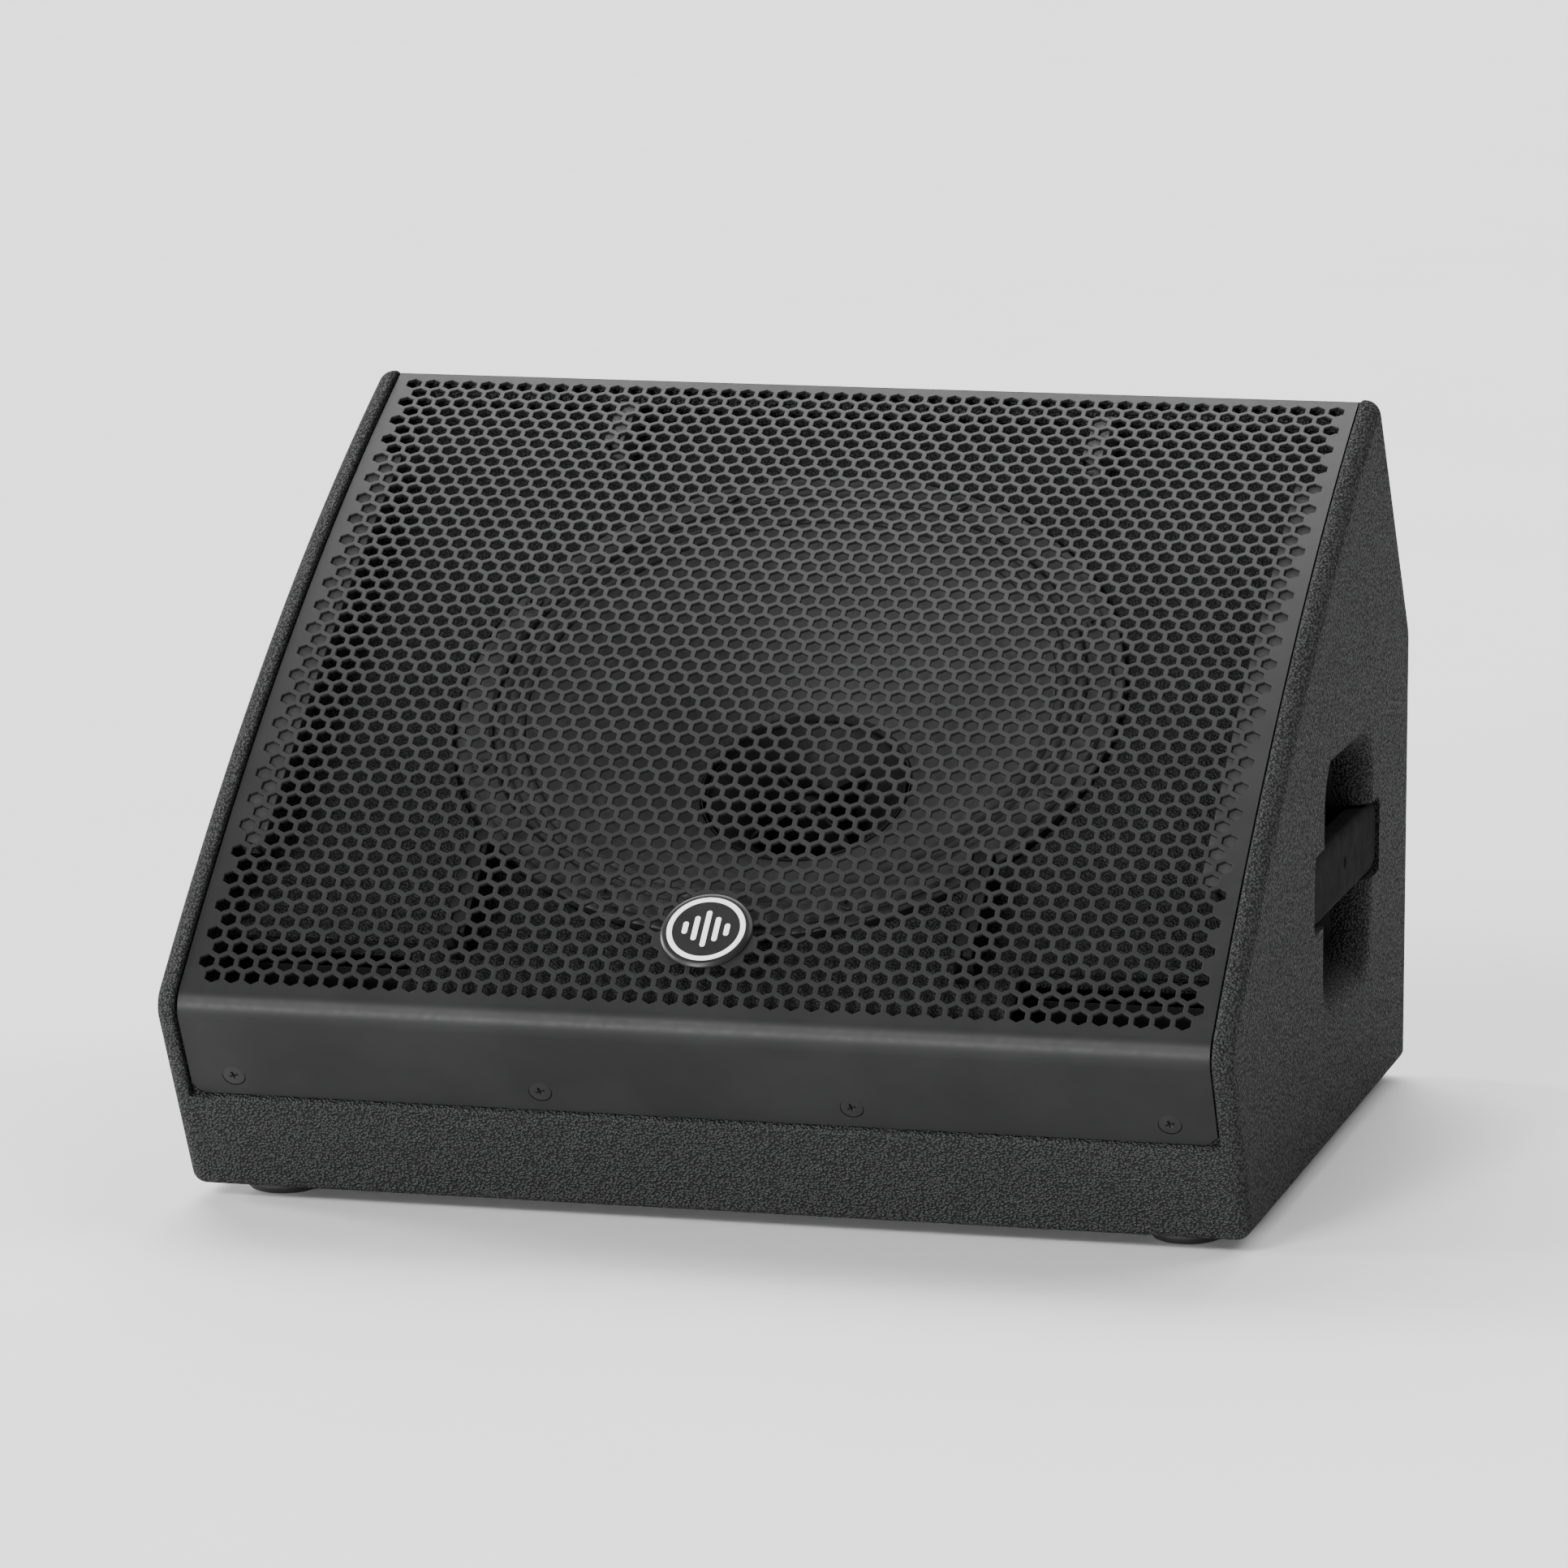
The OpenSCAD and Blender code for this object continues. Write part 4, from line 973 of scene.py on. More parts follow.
def flexing_ring(name, profile, material, r_inner, r_outer, steps, node):
    """A ring turned about the driver's axis, in place of a CAD node."""
    obj = lathe(name, profile, on_driver, material, steps)
    smooth(obj, 60)
    start, end = on_driver(r_outer, 0, 0) * MM, on_driver(r_inner, 0, 0) * MM
    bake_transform(obj)
    axis_point, axis = on_driver(0, 0, 0) * MM, (on_driver(0, 0, 1) - on_driver(0, 0, 0)).normalized()
    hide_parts(node)


def thick(curve, above, below=0.0):
    """A closed profile round an open curve of (radius, height) points."""
    return [(r, z + above) for r, z in curve] + [(r, z + below) for r, z in reversed(curve)]


def cone_z(t):
    """Height of the cone's paper from its coil (0) to its edge (1), with three ribs."""
    ribs = 0.35 * sum(math.exp(-((t - c) / 0.018) ** 2) for c in (0.62, 0.7, 0.78))
    return -56 * (1 - t) - 0.5 + 4 * math.sin(math.pi * t) + ribs


def build_moving_cone():
    steps = 60
    r0, r1 = CONE_R + 0.4, 142.2
    roll = [(r0 + (r1 - r0) * i / steps, 0.35 + 1.7 * abs(math.sin(math.pi * 3 * i / steps)) ** 0.8)
            for i in range(steps + 1)]
    flexing_ring("surround_rolls", thick(roll, 0.7), SURROUND_CLOTH, r0, r1, 160, "surround")

    steps = 80
    span = CONE_R - COIL_R - 1.1
    front = [(COIL_R + 1.1 + span * i / steps, cone_z(i / steps) + 1.0) for i in range(steps + 1)]
    cone = lathe("paper_cone", thick(front, 0.0, -0.9), on_driver, CONE_PAPER, 192)
    finish_piece(cone, "cone", "cone_assembly", 50)

    low, high = PLATE_TOP - 11, -54.8
    former = [(COIL_R + 0.05, low), (COIL_R + 0.4, low), (COIL_R + 0.4, high), (COIL_R + 0.05, high)]
    finish_piece(lathe("coil_former", former, on_driver, CONE_PAPER, ROUND), "voice_coil",
                 "cone_assembly")
    turns = 28
    wire = [(COIL_R + 1.35 + 0.22 * abs(math.sin(math.pi * k / 4)), low + 0.3 + 15.2 * k / (turns * 4))
            for k in range(turns * 4 + 1)]
    winding = [(COIL_R + 0.45, low + 0.3), *wire, (COIL_R + 0.45, low + 15.5)]
    finish_piece(lathe("coil_winding", winding, on_driver, COPPER, ROUND),
                 body="cone_assembly", angle=80)

    steps = 90
    s0, s1 = COIL_R + 1.3, 96.0
    z = PLATE_TOP + 16.2
    wave = [(s0 + (s1 - s0) * i / steps, z + 1.5 * math.sin(2 * math.pi * 5 * i / steps))
            for i in range(steps + 1)]
    flexing_ring("spider_cloth_ring", thick(wave, 0.6), SPIDER_CLOTH, s0, s1, ROUND, "spider")


def build_horn():
    """The high-frequency waveguide in the cone's centre, flaring from its throat."""
    mouth, throat, back = 48.5, 18.0, -121.0
    steps = 24
    profile = [(throat + (mouth - 1.2 - throat) * (i / steps) ** 1.8,
                back + 3 + (-58.5 - back - 3) * (i / steps) ** 0.75) for i in range(steps + 1)]
    profile += [(mouth - 0.9, -57.1), (mouth - 0.2, -57.2), (mouth, -58.2), (mouth - 0.3, PLATE_TOP + 4.2),
                (39.8, PLATE_TOP + 1.4), (39.8, back + 0.2), (throat, back + 0.2)]
    horn = lathe("horn_flare", profile, on_driver, HORN_BLACK, ROUND)
    finish_piece(horn, "hf_horn", angle=50)
    blade = rounded([(6, -100), (22, -100, 3), (36, -66, 4), (6, -66, 3)])
    vanes = []
    for k in range(4):
        p = polar(45 + 90 * k)

        def vane_frame(x, y, z, p=p):
            q = p * x + Vector((-p.y, p.x)) * z
            return on_driver(q.x, q.y, y)
        vanes.append(stack("vane", [(blade, -0.8), (blade, 0.8)], vane_frame, HORN_BLACK))
    hub = [(0, -100), (5, -100), (7, -92), (7, -70), (5, -66), (0, -64)]
    vanes.append(lathe("vane", hub, on_driver, HORN_BLACK, 48))
    finish_piece(join("horn_phase_vanes", vanes))


# ---------------------------------------------------------------- handle
CUP_X, CUP_CORNER = 192.0, 10
POCKET_IN, POCKET_IN_R = 54.0, 16.0


def pocket_outline(inset):
    half = POCKET_IN - inset
    return rounded_square(POCKET, half, half, max(POCKET_IN_R - inset, 0.5))


def build_handle():
    """The cup behind the pocket, and the bar that lies across it."""
    levels = [(CUP_X - 4.8, 2.5), (CUP_X - 4.0, -3.5), (HALF_IN - 4, -3.5), (HALF_IN - 3.9, -10.5),
              (HALF_IN - 0.1, -10.5), (HALF_IN - 0.1, 0.0)]
    levels += [(CUP_X + CUP_CORNER * (1 - s), CUP_CORNER * (1 - c)) for s, c in quarter_turn(6)]
    cup = across("handle_cup_shell", [(x, pocket_outline(inset)) for x, inset in levels], CUP_BLACK)
    finish_piece(cup, "handle_cup")

    back = BAR_X - BAR_T + 0.2
    edge, flat = 6.5, 0.42
    levels = [(back, 1.0), (back + 1.0, 0.0)]
    levels += [(BAR_X - edge * flat * (1 - s), edge * (1 - c)) for s, c in quarter_turn(8)]
    sections = [(x, rounded_square(BAR, BAR_HALF_L - d * 0.35, BAR_HALF_W - d, max(5 - d * 0.35, 1.0), 6))
                for x, d in levels]
    bar = across("handle_bar_moulding", sections, BAR_RUBBER)
    depth = BAR_X - HALF_W
    dimple = [(0, depth - 1.4), (2.2, depth - 1.1), (3.5, depth + 0.05), (3.5, depth + 2), (0, depth + 2)]
    cut(bar, lathe("dimple", dimple, side_frame(BAR + Vector((1.0, 0.8)), 1), steps=48))
    finish_piece(bar, "handle_bar")
    frames = [(lambda x, y, z, s=s: Vector((HALF_IN - z, BAR.x + s * (BAR_HALF_L - 10) + x, BAR.y + y)))
              for s in (-1, 1)]
    build_screws("handle_bar_screws", "handle_screws", frames, BAR_SCREW, ZINC)


# ---------------------------------------------------------------- feet and pole socket
FOOT_X, FOOT_Y = 217.0, {"front": -151.0, "rear": 200.0}
FOOT_R = 17.5


def build_feet():
    profile = [(2.2, 3.1), (6.0, 3.1), (6.4, 2.7), (6.4, 0.9), (7.2, 0.0), (13.6, 0.0), (15.2, 0.6),
               (16.8, 2.2), (FOOT_R, 3.6), (FOOT_R, FLOOR), (2.2, FLOOR)]
    grip = [(9.0, 0.02), (9.4, 0.0), (9.8, 0.02), (9.8, 0.6), (9.0, 0.6)]
    frames = []
    for name, y0 in FOOT_Y.items():
        feet = []
        for side in (-1, 1):
            at = (lambda x, y, z, side=side, y0=y0: Vector((side * FOOT_X + x, y0 + y, z)))
            feet += [lathe("foot", shape, at, FOOT_RUBBER, 64) for shape in (profile, grip)]
        finish_piece(join(f"rubber_feet_{name}", feet), f"feet_{name}")
    for side in (-1, 1):
        for y0 in FOOT_Y.values():
            frames.append(lambda x, z, h, side=side, y0=y0: Vector((side * FOOT_X + x, y0 + z, 3.0 - h)))
    build_screws("foot_screws_zinc", "foot_screws", frames, FOOT_SCREW, ZINC)


def build_pole_socket():
    """The flanged plastic tube on the left side, bored for a 35 mm pole."""
    at = side_frame(POLE, -1)
    bore, tube, depth = 17.75, 21.0, 86.0
    profile = [(bore, -82.0), (bore, -2.2), (bore + 1.6, -0.3), (bore + 3.4, 0.0), (42.6, 0.0), (44.4, -0.5),
               (45.0, -1.4), (45.0, -3.0), (tube, -3.0), (tube, -depth + 1), (tube - 1, -depth), (0, -depth),
               (0, -82.0)]
    socket = lathe("pole_socket_flange", profile, at, PLASTIC, ROUND)
    frames, cutters = [], []
    for a in (45, 135, 225, 315):
        p = 35 * polar(a)
        frame_at = (lambda x, y, z, p=p: at(p.x + x, p.y + y, z))
        frames.append(frame_at)
        sink = solid((2.3, -6), (2.3, -2.6), (4.5, -0.5), (4.5, 1))
        cutters.append(lathe("sink", sink, frame_at, steps=40))
    groove = rectangle(1.1, 5.5, 1.0)
    for a in range(0, 360, 90):
        cutters.append(stack("groove", [(groove, -0.8), (groove, 1.0)], lambda x, y, z, a=a: at(
            (29 + y) * polar(a).x - x * polar(a).y, (29 + y) * polar(a).y + x * polar(a).x, z)))
    cut(socket, *cutters)
    finish_piece(socket, "pole_socket")
    build_screws("pole_socket_bolts", "pole_socket_screws", frames, POLE_SCREW)


# ---------------------------------------------------------------- amplifier panel
AMP_W, AMP_H, AMP_Z = 280.0, 156.0, FLOOR + 115.0
TRAY_Y = REAR - 24.0
JACK_X, JACK_Z = (28.0, 66.0), 38.0
LINK_AT, MENU_AT = (104.0, 38.0), (104.0, 0.0)
KNOB_AT = ((28.0, 2.0), (66.0, 2.0))
BUTTON_AT = ((84.0, -26.0), (104.0, -26.0))
INLET_AT, ROCKER_AT, DISPLAY_AT = (100.0, -54.0), (52.0, -54.0), (40.0, -27.0)
LATCH_UP = 12.9
BOXED = ((9, -10.6, 81, 19), (88, -11.4, 120, 14))
CONTACT_TURNS = (90, 210, 330)


def amp_frame(at, dx=0.0, dz=0.0, y0=TRAY_Y):
    return rear_frame(at[0] + dx, AMP_Z + (at[1] + dz), y0)


def tray_frames():
    """Frames of the tray's screws."""
    return [rear_frame(x * (AMP_W / 2 - 6), AMP_Z + z * (AMP_H / 2 + 5.5), REAR)
            for x in (-1, 0, 1) for z in (-1, 1)]


def build_tray():
    """A folded tray: flange with a rounded rim, deep walls and radiused corners."""
    section = ((10.4, -2.9), (10.6, -2.5), (10.6, -1.0), (10.0, -0.5), (9.4, -0.4), (0.2, -0.4), (-0.9, -0.7),
               (-1.7, -1.4), (-2.2, -2.8), (-2.4, -22.0), (-2.5, -26.4), (-0.5, -26.4), (-0.5, -4.0),
               (0.1, -3.2), (0.8, -2.9))
    levels = [(rectangle(AMP_W / 2 + offset, AMP_H / 2 + offset, max(8 + offset, 1.2), 8), y)
              for offset, y in section]
    tray = stack("amp_tray_shell", levels, rear_frame(0, AMP_Z, REAR), AMP_PAINT, closed=True)
    hole = solid((2.3, -6), (2.3, -2.0), (4.1, -2.0), (4.1, 1))
    cut(tray, *[lathe("hole", hole, at, steps=32) for at in tray_frames()])
    finish_piece(tray, "amp_tray")
    build_screws("amp_tray_screws", "amp_screws", tray_frames(), TRAY_SCREW)


def build_amp_plate():
    at = amp_frame((0, 0))
    face = rectangle(AMP_W / 2 - 3, AMP_H / 2 - 3, 5)
    panel = stack("amp_control_plate", [(face, -2.4), (face, 0)], at, AMP_PAINT)
    jacks = [(x, JACK_Z) for x in JACK_X]
    openings = []
    for jack in jacks:
        openings += [(circle(12.2), jack, 0), (rectangle(3.5, 2.7, 0.3), jack, 12.7)]
    openings.append((circle(12.2), LINK_AT, 0))
    openings += [(circle(3.6), knob, 0) for knob in (*KNOB_AT, MENU_AT)]
    openings += [(circle(3.4), button, 0) for button in BUTTON_AT]
    openings += [(rectangle(14.2, 10.2, 1), INLET_AT, 0), (rectangle(9.7, 14.2, 1), ROCKER_AT, 0)]
    cut(panel, *[stack("hole", [(points, -4), (points, 2)], amp_frame(spot, dz=up))
                 for points, spot, up in openings])
    finish_piece(panel, "amp_plate")

    low, high = -0.02, 0.06
    marks = []
    for knob in KNOB_AT:
        for k in range(11):
            inner, outer = (10.2, 12.4) if k % 5 == 0 else (10.6, 11.8)
            p = polar(240 - 30 * k)
            side = Vector((-p.y, p.x)) * 0.28
            tick = [p * inner - side, p * outer - side, p * outer + side, p * inner + side]
            marks.append(stack("tick", [(tick, low), (tick, high)], amp_frame(knob), LABEL_WHITE))
    for x0, z0, x1, z1 in BOXED:
        half_w, half_h = (x1 - x0) / 2, (z1 - z0) / 2
        outer, inner = rectangle(half_w, half_h, 3), rectangle(half_w - 0.35, half_h - 0.35, 2.65)
        marks.append(stack("box", [(outer, low), (outer, high), (inner, high), (inner, low)],
                           amp_frame(((x1 + x0) / 2, (z1 + z0) / 2)), LABEL_WHITE, closed=True))
    finish_piece(join("amp_plate_markings", marks))


def build_heat_sink():
    fins, width, half_h = 14, 118.0, (AMP_H - 24) / 2
    x0 = -AMP_W / 2 + 10
    base = [Vector(p) for p in ((x0, -half_h), (x0 + width, -half_h), (x0 + width, half_h), (x0, half_h))]
    parts = [stack("base", [(base, 0.05), (base, 4.0)], rear_frame(0, AMP_Z, TRAY_Y), BLACK_ALUMINIUM)]
    pitch = (width - 2) / (fins - 1)
    tip = REAR - 4 - TRAY_Y
    for k in range(fins):
        x = x0 + 1 + k * pitch
        section = rounded([(x - 1.25, 3.2), (x + 1.25, 3.2), (x + 0.75, tip, 0.7), (x - 0.75, tip, 0.7)])
        parts.append(loft("fin", [[Vector((p.x, TRAY_Y + p.y, AMP_Z + z)) for p in section]
                                  for z in (-half_h, half_h)], BLACK_ALUMINIUM))
    finish_piece(soften(join("heat_sink_fins", parts), 0.3), "heat_sink")


def build_combo_jack(number, x):
    jack = (x, JACK_Z)
    at = amp_frame(jack)
    flange = stack("flange", [(rectangle(13, 15.5, 2.4, middle=(0, 1)), z) for z in (0.05, 1.4)]
                   + [(rectangle(12.4, 14.9, 1.9, middle=(0, 1)), 2.0)], at, PLASTIC)
    slot = rectangle(3.3, 2.3, 0.4)
    slots = [stack("slot", [(slot, -1), (slot, 4)], amp_frame(jack, dz=LATCH_UP)) for _ in range(2)]
    mouth = solid((8.4, -3), (8.4, 1.2), (9.4, 2.2), (9.4, 4))
    cut(flange, slots[0], lathe("mouth", mouth, at, steps=64))
    barrel = [(8.4, 0.1), (12, 0.1), (12, -17.4), (11.4, -18), (0, -18), (0, -14), (3.3, -14), (8.4, -14)]
    barrel = lathe("barrel", barrel, at, PLASTIC, 64)
    contacts = [lathe("contact", solid((3.2, -16.5), (3.2, -13)), at, steps=32)]
    contact = solid((1.3, -16.5), (1.3, -13))
    for a in CONTACT_TURNS:
        p = 6.2 * polar(a + 180)
        contacts.append(lathe("contact", contact, amp_frame(jack, p.x, p.y), steps=20))
    cut(barrel, slots[1], *contacts)
    name = f"combo_socket_{number}"
    finish_piece(join(name, [flange, barrel]), f"combo_jack_{number}")
    build_screws(name + "_screws", None,
                 [amp_frame(jack, -9.6, 12.8), amp_frame(jack, 9.6, -10.8)], SOCKET_SCREW)
    tab = [Vector((y, z)) for y, z in ((-2.9, 11.1), (2.9, 11.1), (2.9, 14.7), (-2.9, 14.7))]
    tip = [Vector((p.x * 0.93, LATCH_UP + (p.y - LATCH_UP) * 0.9)) for p in tab]
    latch = stack(f"combo_latch_{number}", [(tab, 0.6), (tab, 2.6), (tip, 3.2)], at, NICKEL)
    finish_piece(soften(latch, 0.25), f"jack_latch_{number}", f"latch_{number}")


def build_link():
    at = amp_frame(LINK_AT)
    face, inset_face = rectangle(13, 14.5, 2.4), rectangle(12.4, 13.9, 1.9)
    flange = stack("flange", [(face, 0.05), (face, 1.4), (inset_face, 2.0)], at, PLASTIC)
    mouth = solid((9.4, -3), (9.4, 1.2), (10.2, 2.2), (10.2, 4))
    cut(flange, lathe("mouth", mouth, at, steps=64))
    barrel = [(9.4, 0.1), (12, 0.1), (12, -15.4), (11.4, -16), (0, -16), (0, -12), (9, -12), (9.4, -11.4)]
    barrel = lathe("barrel", barrel, at, PLASTIC, 64)
    key = rectangle(1.6, 1.0, 0.3)
    key = stack("key", [(key, -11.9), (key, 0.5)], amp_frame(LINK_AT, dz=-8.6), PLASTIC)
    finish_piece(join("link_socket", [flange, barrel, key]), "link_output")
    pin = solid((1.2, -15), (1.2, -2.2), (0.9, -1.4), (0, -1.0))
    pins = []
    for a in CONTACT_TURNS:
        p = 4.6 * polar(a)
        pins.append(lathe("pin", pin, amp_frame(LINK_AT, p.x, p.y), NICKEL, 24))
    finish_piece(join("link_socket_pins", pins), "link_pins")
    build_screws("link_socket_screws", None,
                 [amp_frame(LINK_AT, s * 9.6, s * -11.2) for s in (-1, 1)], SOCKET_SCREW)


def build_inlet():
    at = amp_frame(INLET_AT)
    ears = rounded([(-25, 0, 6), (-15, -12, 3), (15, -12, 3), (25, 0, 6), (15, 12, 3), (-15, 12, 3)])
    socket = rounded([(-12, -8, 1.5), (12, -8, 1.5), (12, 3.5, 1.2), (7.5, 8, 1.2), (-7.5, 8, 1.2),
                      (-12, 3.5, 1.2)])
    body = rectangle(14, 10, 2)
    screw_frames = [amp_frame(INLET_AT, s * 20) for s in (-1, 1)]
    flange = stack("flange", [(ears, 0.05), (ears, 1.9), ([p * 0.97 for p in ears], 2.5)], at, PLASTIC)
    sink = solid((1.8, -2), (1.8, 1.0), (3.4, 2.4), (3.4, 4))
    cut(flange, stack("mouth", [(socket, -3), (socket, 1.6), ([p * 1.06 for p in socket], 3.0)], at),
        *[lathe("sink", sink, frame_at, steps=32) for frame_at in screw_frames])
    shell = stack("shell", [(body, -20), (body, 0.1)], at, PLASTIC)
    cut(shell, stack("hollow", [(socket, -17), (socket, 2)], at))
    finish_piece(join("mains_socket", [flange, shell]), "mains_inlet")
    build_screws("mains_socket_screws", None, screw_frames, INLET_SCREW)
    full, tip = rectangle(1, 2, 0.4), rectangle(0.5, 1.4, 0.3)
    blades = [stack("blade", [(full, -17), (full, top - 1.2), (tip, top)], amp_frame(INLET_AT, x, z), NICKEL)
              for x, z, top in ((-7, -2, -2), (7, -2, -2), (0, 3, -1))]
    finish_piece(join("mains_socket_blades", blades), "mains_pins")


ROCKER_TILT = math.radians(-9)
PIVOT = Vector((TRAY_Y + 0.5, AMP_Z + ROCKER_AT[1]))


def rocker_bar(name, half_w, points, material=PLASTIC, tilt=ROCKER_TILT):
    """A bar along x through points about the rocker's pivot, tilted as the rocker is at rest."""
    c, s = math.cos(tilt), math.sin(tilt)
    section = [Vector((PIVOT.x + (p.x * c - p.y * s), PIVOT.y + (p.x * s + p.y * c))) for p in points]
    return prism(name, ROCKER_AT[0] - half_w, ROCKER_AT[0] + half_w, section, material)


def build_rocker():
    outer, outer_top = rectangle(11, 16, 1.5), rectangle(10.4, 15.4, 1.2)
    inner, body = rectangle(7, 12.4, 0.6), rectangle(9.5, 14, 1)
    bezel = stack("rocker_frame", [(inner, -12), (body, -12), (body, 0.05), (outer, 0.05), (outer, 1.1),
                                   (outer_top, 1.6), (rectangle(7.4, 12.8, 0.8), 1.6), (inner, 1.0)],
                  amp_frame(ROCKER_AT), PLASTIC, closed=True)
    cut(bezel, rocker_bar("bore", 8.9, circle(0.9, 24), tilt=0))
    finish_piece(bezel, "rocker_bezel")
    section = rounded([(-5, -7.5), (0.8, -9.6, 0.5), (2.4, -9.2, 0.6), (1.5, 0, 18), (2.4, 9.2, 0.6),
                       (0.8, 9.6, 0.5), (-5, 7.5)], 0, 6)
    parts = [rocker_bar("lever", 6.5, section), rocker_bar("pin", 8.5, circle(0.6, 24))]
    finish_piece(soften(join("power_rocker_lever", parts), 0.35), "power_rocker",
                 "power_switch")
    line = [Vector(p) for p in ((2.13, 4.2), (2.33, 4.2), (2.55, 7.0), (2.35, 7.0))]
    mark = rocker_bar("power_rocker_mark", 0.35, line, LABEL_WHITE)
    finish_piece(mark, body="power_switch")


def build_knob(name, node, body, spot, radius, height, flutes=18):
    """A fluted knob with a pointer line on its cap."""
    at = amp_frame(spot, y0=TRAY_Y + 1.2)
    steps = flutes * 8
    turns = [2 * math.pi * i / steps for i in range(steps)]
    # inset, height and depth of the flutes, from the skirt to the dished cap
    levels = ((0.0, 0.0, 0.0), (0.0, 2.6, 0.0), (0.15, 3.0, 0.5), (0.15, height - 1.6, 1.0),
              (0.5, height - 0.8, 0.8), (1.1, height - 0.15, 0.3), (1.6, height, 0.0),
              (2.4, height - 0.35, 0.0))
    rings = []
    for inset, z, depth in levels:
        radii = [radius - inset - 0.7 * depth * max(0.0, math.cos(flutes * a)) ** 1.5 for a in turns]
        rings.append([at(r * math.cos(a), r * math.sin(a), z) for r, a in zip(radii, turns)])
    knob = loft(name, rings, SOFT_GRIP)
    cut(knob, lathe("bore", solid((3.1, -1), (3.1, 6.0)), at, steps=32))
    finish_piece(knob, node, body, 40)
    line = [Vector(p) for p in ((-0.4, 1.5), (0.4, 1.5), (0.4, radius - 2.5), (-0.4, radius - 2.5))]
    pointer = stack(name + "_pointer", [(line, height - 0.4), (line, height - 0.22)], at, LABEL_WHITE)
    finish_piece(pointer, body=body)


def build_buttons():
    profile = solid((3.0, -1.5), (3.0, 2.3), (2.7, 2.8), (2.2, 3.0), (1.2, 2.85), (0, 2.8))
    for number, spot in enumerate(BUTTON_AT, 1):
        cap = lathe(f"menu_cap_{number}", profile, amp_frame(spot), LABEL_GREY, 40)
        finish_piece(cap, f"menu_button_{number}", f"button_{number}")


def build_display():
    at = amp_frame(DISPLAY_AT)
    outer, top, window = rectangle(24, 9, 2), rectangle(23.4, 8.4, 1.6), rectangle(20.5, 6.5, 1.0)
    bezel = stack("display_bezel", [(outer, 0.05), (outer, 1.2), (top, 1.6), (window, 1.6), (window, 0.05)],
                  at, PLASTIC, closed=True)
    finish_piece(bezel, "display")
    glass = rectangle(20.4, 6.4, 1.0)
    finish_piece(stack("display_glass", [(glass, 0.1), (glass, 1.2)], at, SCREEN))
    lens = solid((1.5, 0.1), (1.5, 0.9), (1.2, 1.4), (0.6, 1.65), (0, 1.7))
    lamps = [lathe("lamp", lens, amp_frame(DISPLAY_AT, k * 8 - 18, 13.5), LAMP_GREEN, 24) for k in range(3)]
    finish_piece(join("status_lamps", lamps))


def build_board():
    """The circuit board with its chips and capacitors standing on the inner side."""
    y0 = TRAY_Y - 2.5 - 20

    def at(x, y, z):
        return Vector((x, y0 - 1.6 - z, AMP_Z + y))
    board = rectangle(60, 40, 2, middle=(68, 22))
    slab = stack("amp_board_slab", [(board, 0.0), (board, -1.6)], at, BOARD_GREEN)
    finish_piece(soften(slab, 0.15), "amp_board")
    chips, cans = [], []
    for k in range(4):
        block = rectangle(7, 7, 0.8, middle=(27 + k * 26, -3))
        chips.append(stack("chip", [(block, 0), (block, 8.4)], at, PLASTIC))
        ring, rim = [circle(r, 32, (24 + k * 26, 22)) for r in (4.5, 4.0)]
        cans.append(stack("can", [(ring, 0), (ring, 7.6), (rim, 8.2)], at, PLASTIC))
        small = rectangle(4, 2.5, 0.4, middle=(36 + k * 24, 44))
        chips.append(stack("chip", [(small, 0), (small, 2.5)], at, PLASTIC))
    finish_piece(join("board_parts", chips + cans))


# ---------------------------------------------------------------- camera, light and stage
STAGE_HALF = 8.0
WORLD_LIGHT = 0.24
CAMERA_AT, CAMERA_AZIMUTH, CAMERA_ELEVATION = (0.9074, -3.6796, 0.8362), 14.02, 9.87
# direction that the light comes from, its angular size in degrees, its strength
LIGHTS = {"softbox_rear": ((-0.25, 0.66, 0.70), 50, 4.0), "softbox_front": ((-0.24, -0.80, 0.55), 16, 2.3),
          "softbox_right": ((0.50, 0.33, 0.80), 36, 1.4), "softbox_left": ((-0.85, -0.40, 0.30), 16, 1.8),
          "edge_left": ((-0.94, 0.14, 0.28), 16, 3.0), "low_front": ((-0.30, -0.94, 0.10), 8, 3.4)}


def build_stage():
    paint = surface("stage_floor", 0.84, 0.86, 0.7, grain=100, grain_depth=0.01, tone_scale=2)
    h = STAGE_HALF
    floor = bpy.data.meshes.new("stage_floor")
    floor.from_pydata([(-h, -h, 0), (h, -h, 0), (h, h, 0), (-h, h, 0)], [], [(0, 1, 2, 3)])
    new_object("stage_floor", floor, paint)
    world = bpy.data.worlds.new("studio")
    bpy.context.scene.world = world
    world.use_nodes = True
    background = world.node_tree.nodes["Background"]
    background.inputs["Color"].default_value = (1, 1, 1, 1)
    background.inputs["Strength"].default_value = WORLD_LIGHT


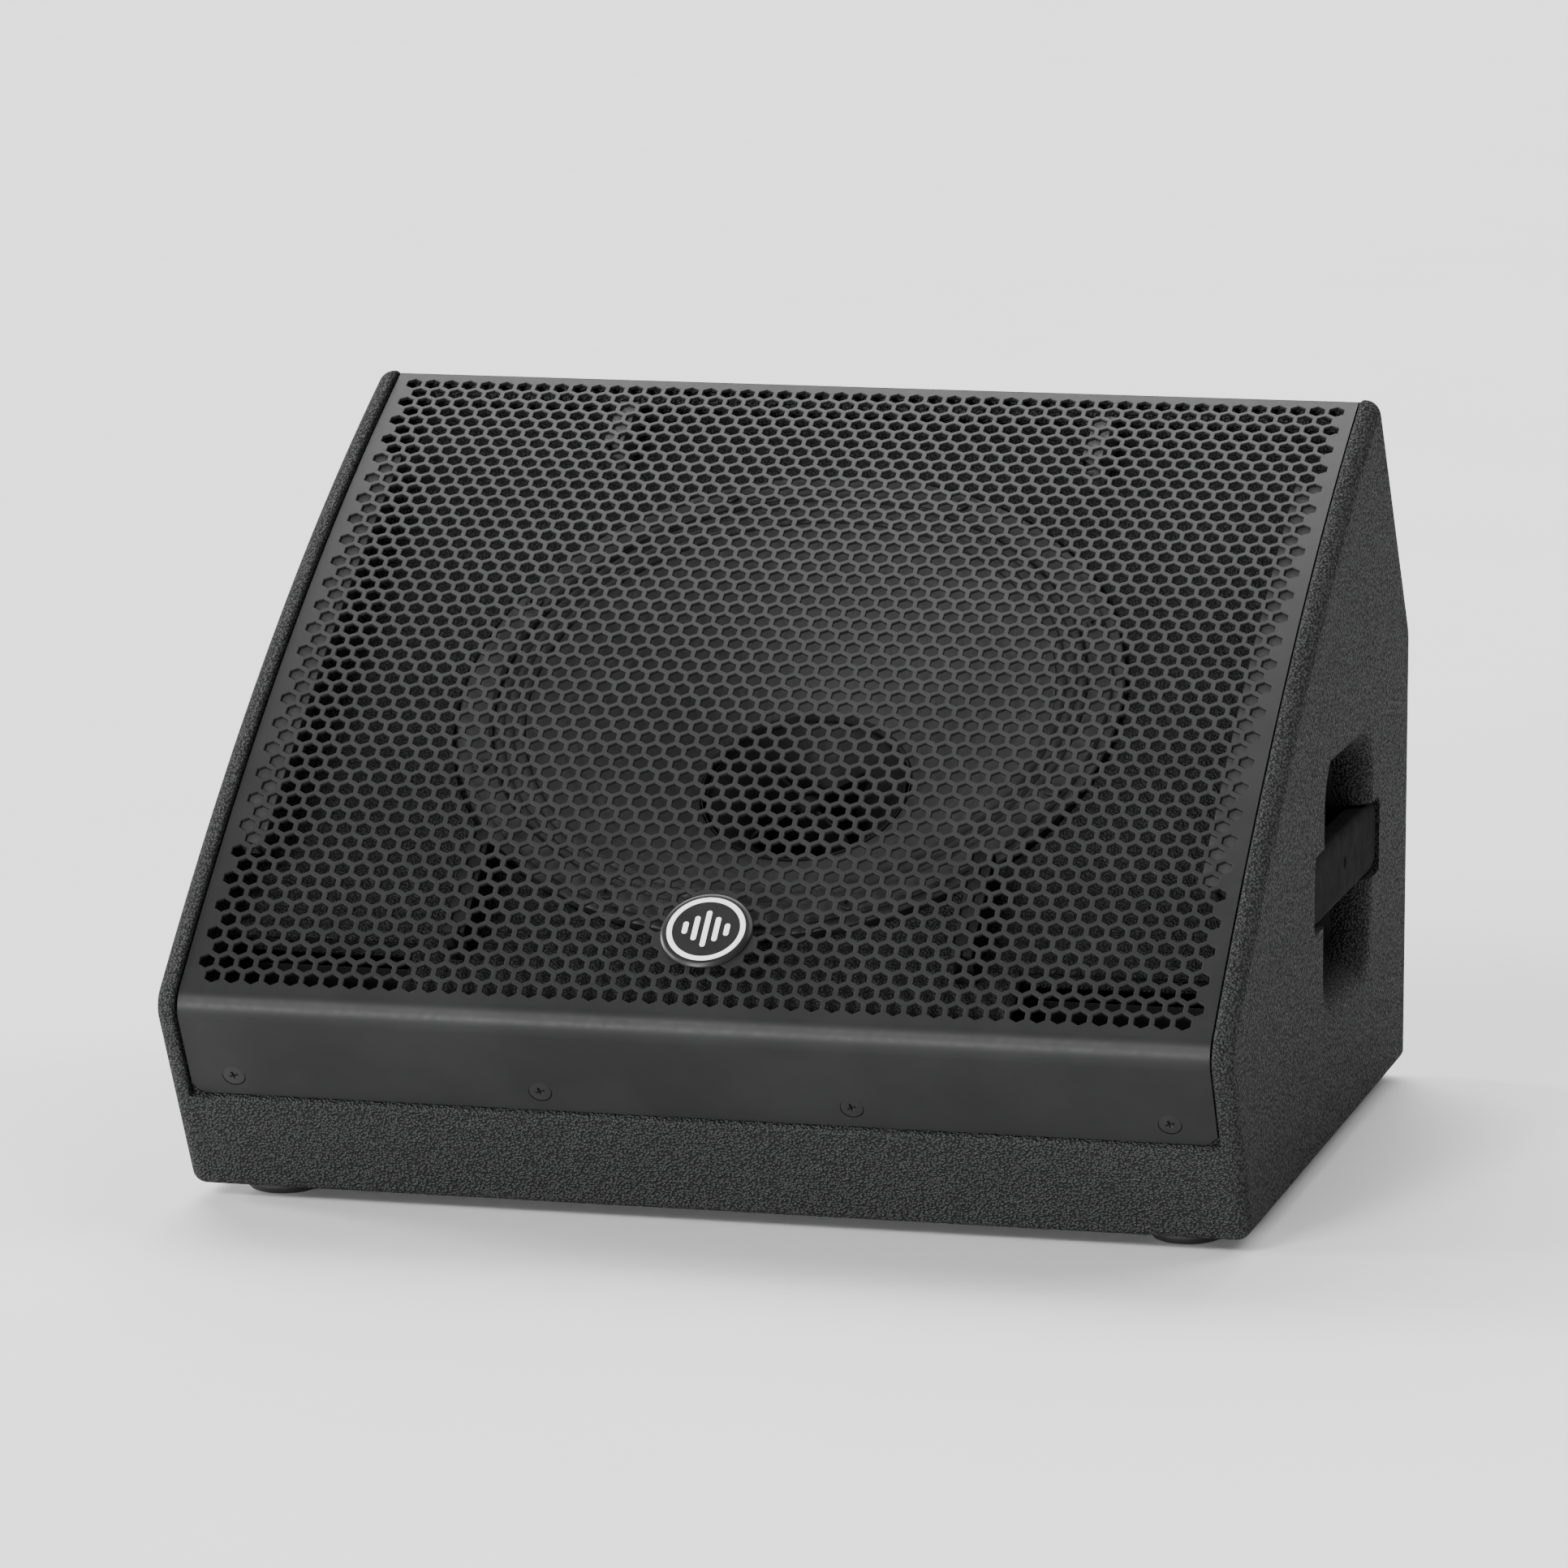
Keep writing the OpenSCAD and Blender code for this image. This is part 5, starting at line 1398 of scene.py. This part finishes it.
def build_lights():
    """Soft parallel lights."""
    for name, (direction, spread_angle, strength) in LIGHTS.items():
        light = bpy.data.lights.new(name, "SUN")
        light.energy = strength
        light.angle = math.radians(spread_angle)
        obj = bpy.data.objects.new(name, light)
        obj.rotation_euler = Vector(direction).to_track_quat("Z", "Y").to_euler()
        bpy.context.scene.collection.objects.link(obj)


def build_camera():
    camera = bpy.data.cameras.new("camera")
    camera.sensor_width = 36
    camera.lens = 184.0
    camera.clip_end = 50
    obj = bpy.data.objects.new("camera", camera)
    obj.location = CAMERA_AT
    obj.rotation_euler = Euler((math.radians(90 - CAMERA_ELEVATION), 0, math.radians(CAMERA_AZIMUTH)))
    bpy.context.scene.collection.objects.link(obj)
    bpy.context.scene.camera = obj


# ---------------------------------------------------------------- build
build_camera()
build_stage()
build_lights()
build_side_panels()
build_cabinet_panels()
build_grille()
build_screws("grille_flange_screws", "grille_screws", [flange_frame(x) for x in SCREW_X],
             FLANGE_SCREW)
build_badge()
build_driver()
build_moving_cone()
build_horn()
build_handle()
build_feet()
build_pole_socket()
build_tray()
build_amp_plate()
build_heat_sink()
for jack_number, jack_x in enumerate(JACK_X, 1):
    build_combo_jack(jack_number, jack_x)
build_link()
build_inlet()
build_rocker()
build_knob("level_dial_1", "level_knob_1", "level_1", KNOB_AT[0], 8.0, 14.0)
build_knob("level_dial_2", "level_knob_2", "level_2", KNOB_AT[1], 8.0, 14.0)
build_knob("menu_dial", "menu_knob", "menu", MENU_AT, 9.5, 13.0, 24)
build_buttons()
build_display()
build_board()

# CAD nodes that stay as they are: material and width of the broken edges
CARRIED = {"baffle": (BAFFLE_COATING, 0.0), "top_rail": (PLYWOOD, 0.6), "brace": (PLYWOOD, 1.0),
           "port_duct_left": (PORT_BLACK, 0.8), "port_duct_right": (PORT_BLACK, 0.8),
           "grille_strips": (STRIP_FELT, 0.8), "grille_pads_upper": (FOAM, 0.6),
           "grille_pads_lower": (PAD_DARK, 0.6), "top_plate": (ZINC, 0.6), "magnet": (FERRITE, 1.0),
           "pole_piece": (ZINC, 0.6), "hf_driver": (CAST_METAL, 1.0), "power_supply": (FOLDED_SHEET, 0.6),
           "control_shafts": (BARE_STEEL, 0.2)}
for cad_node, (cad_material, cad_bevel) in CARRIED.items():
    cad(cad_node, cad_material, cad_bevel)
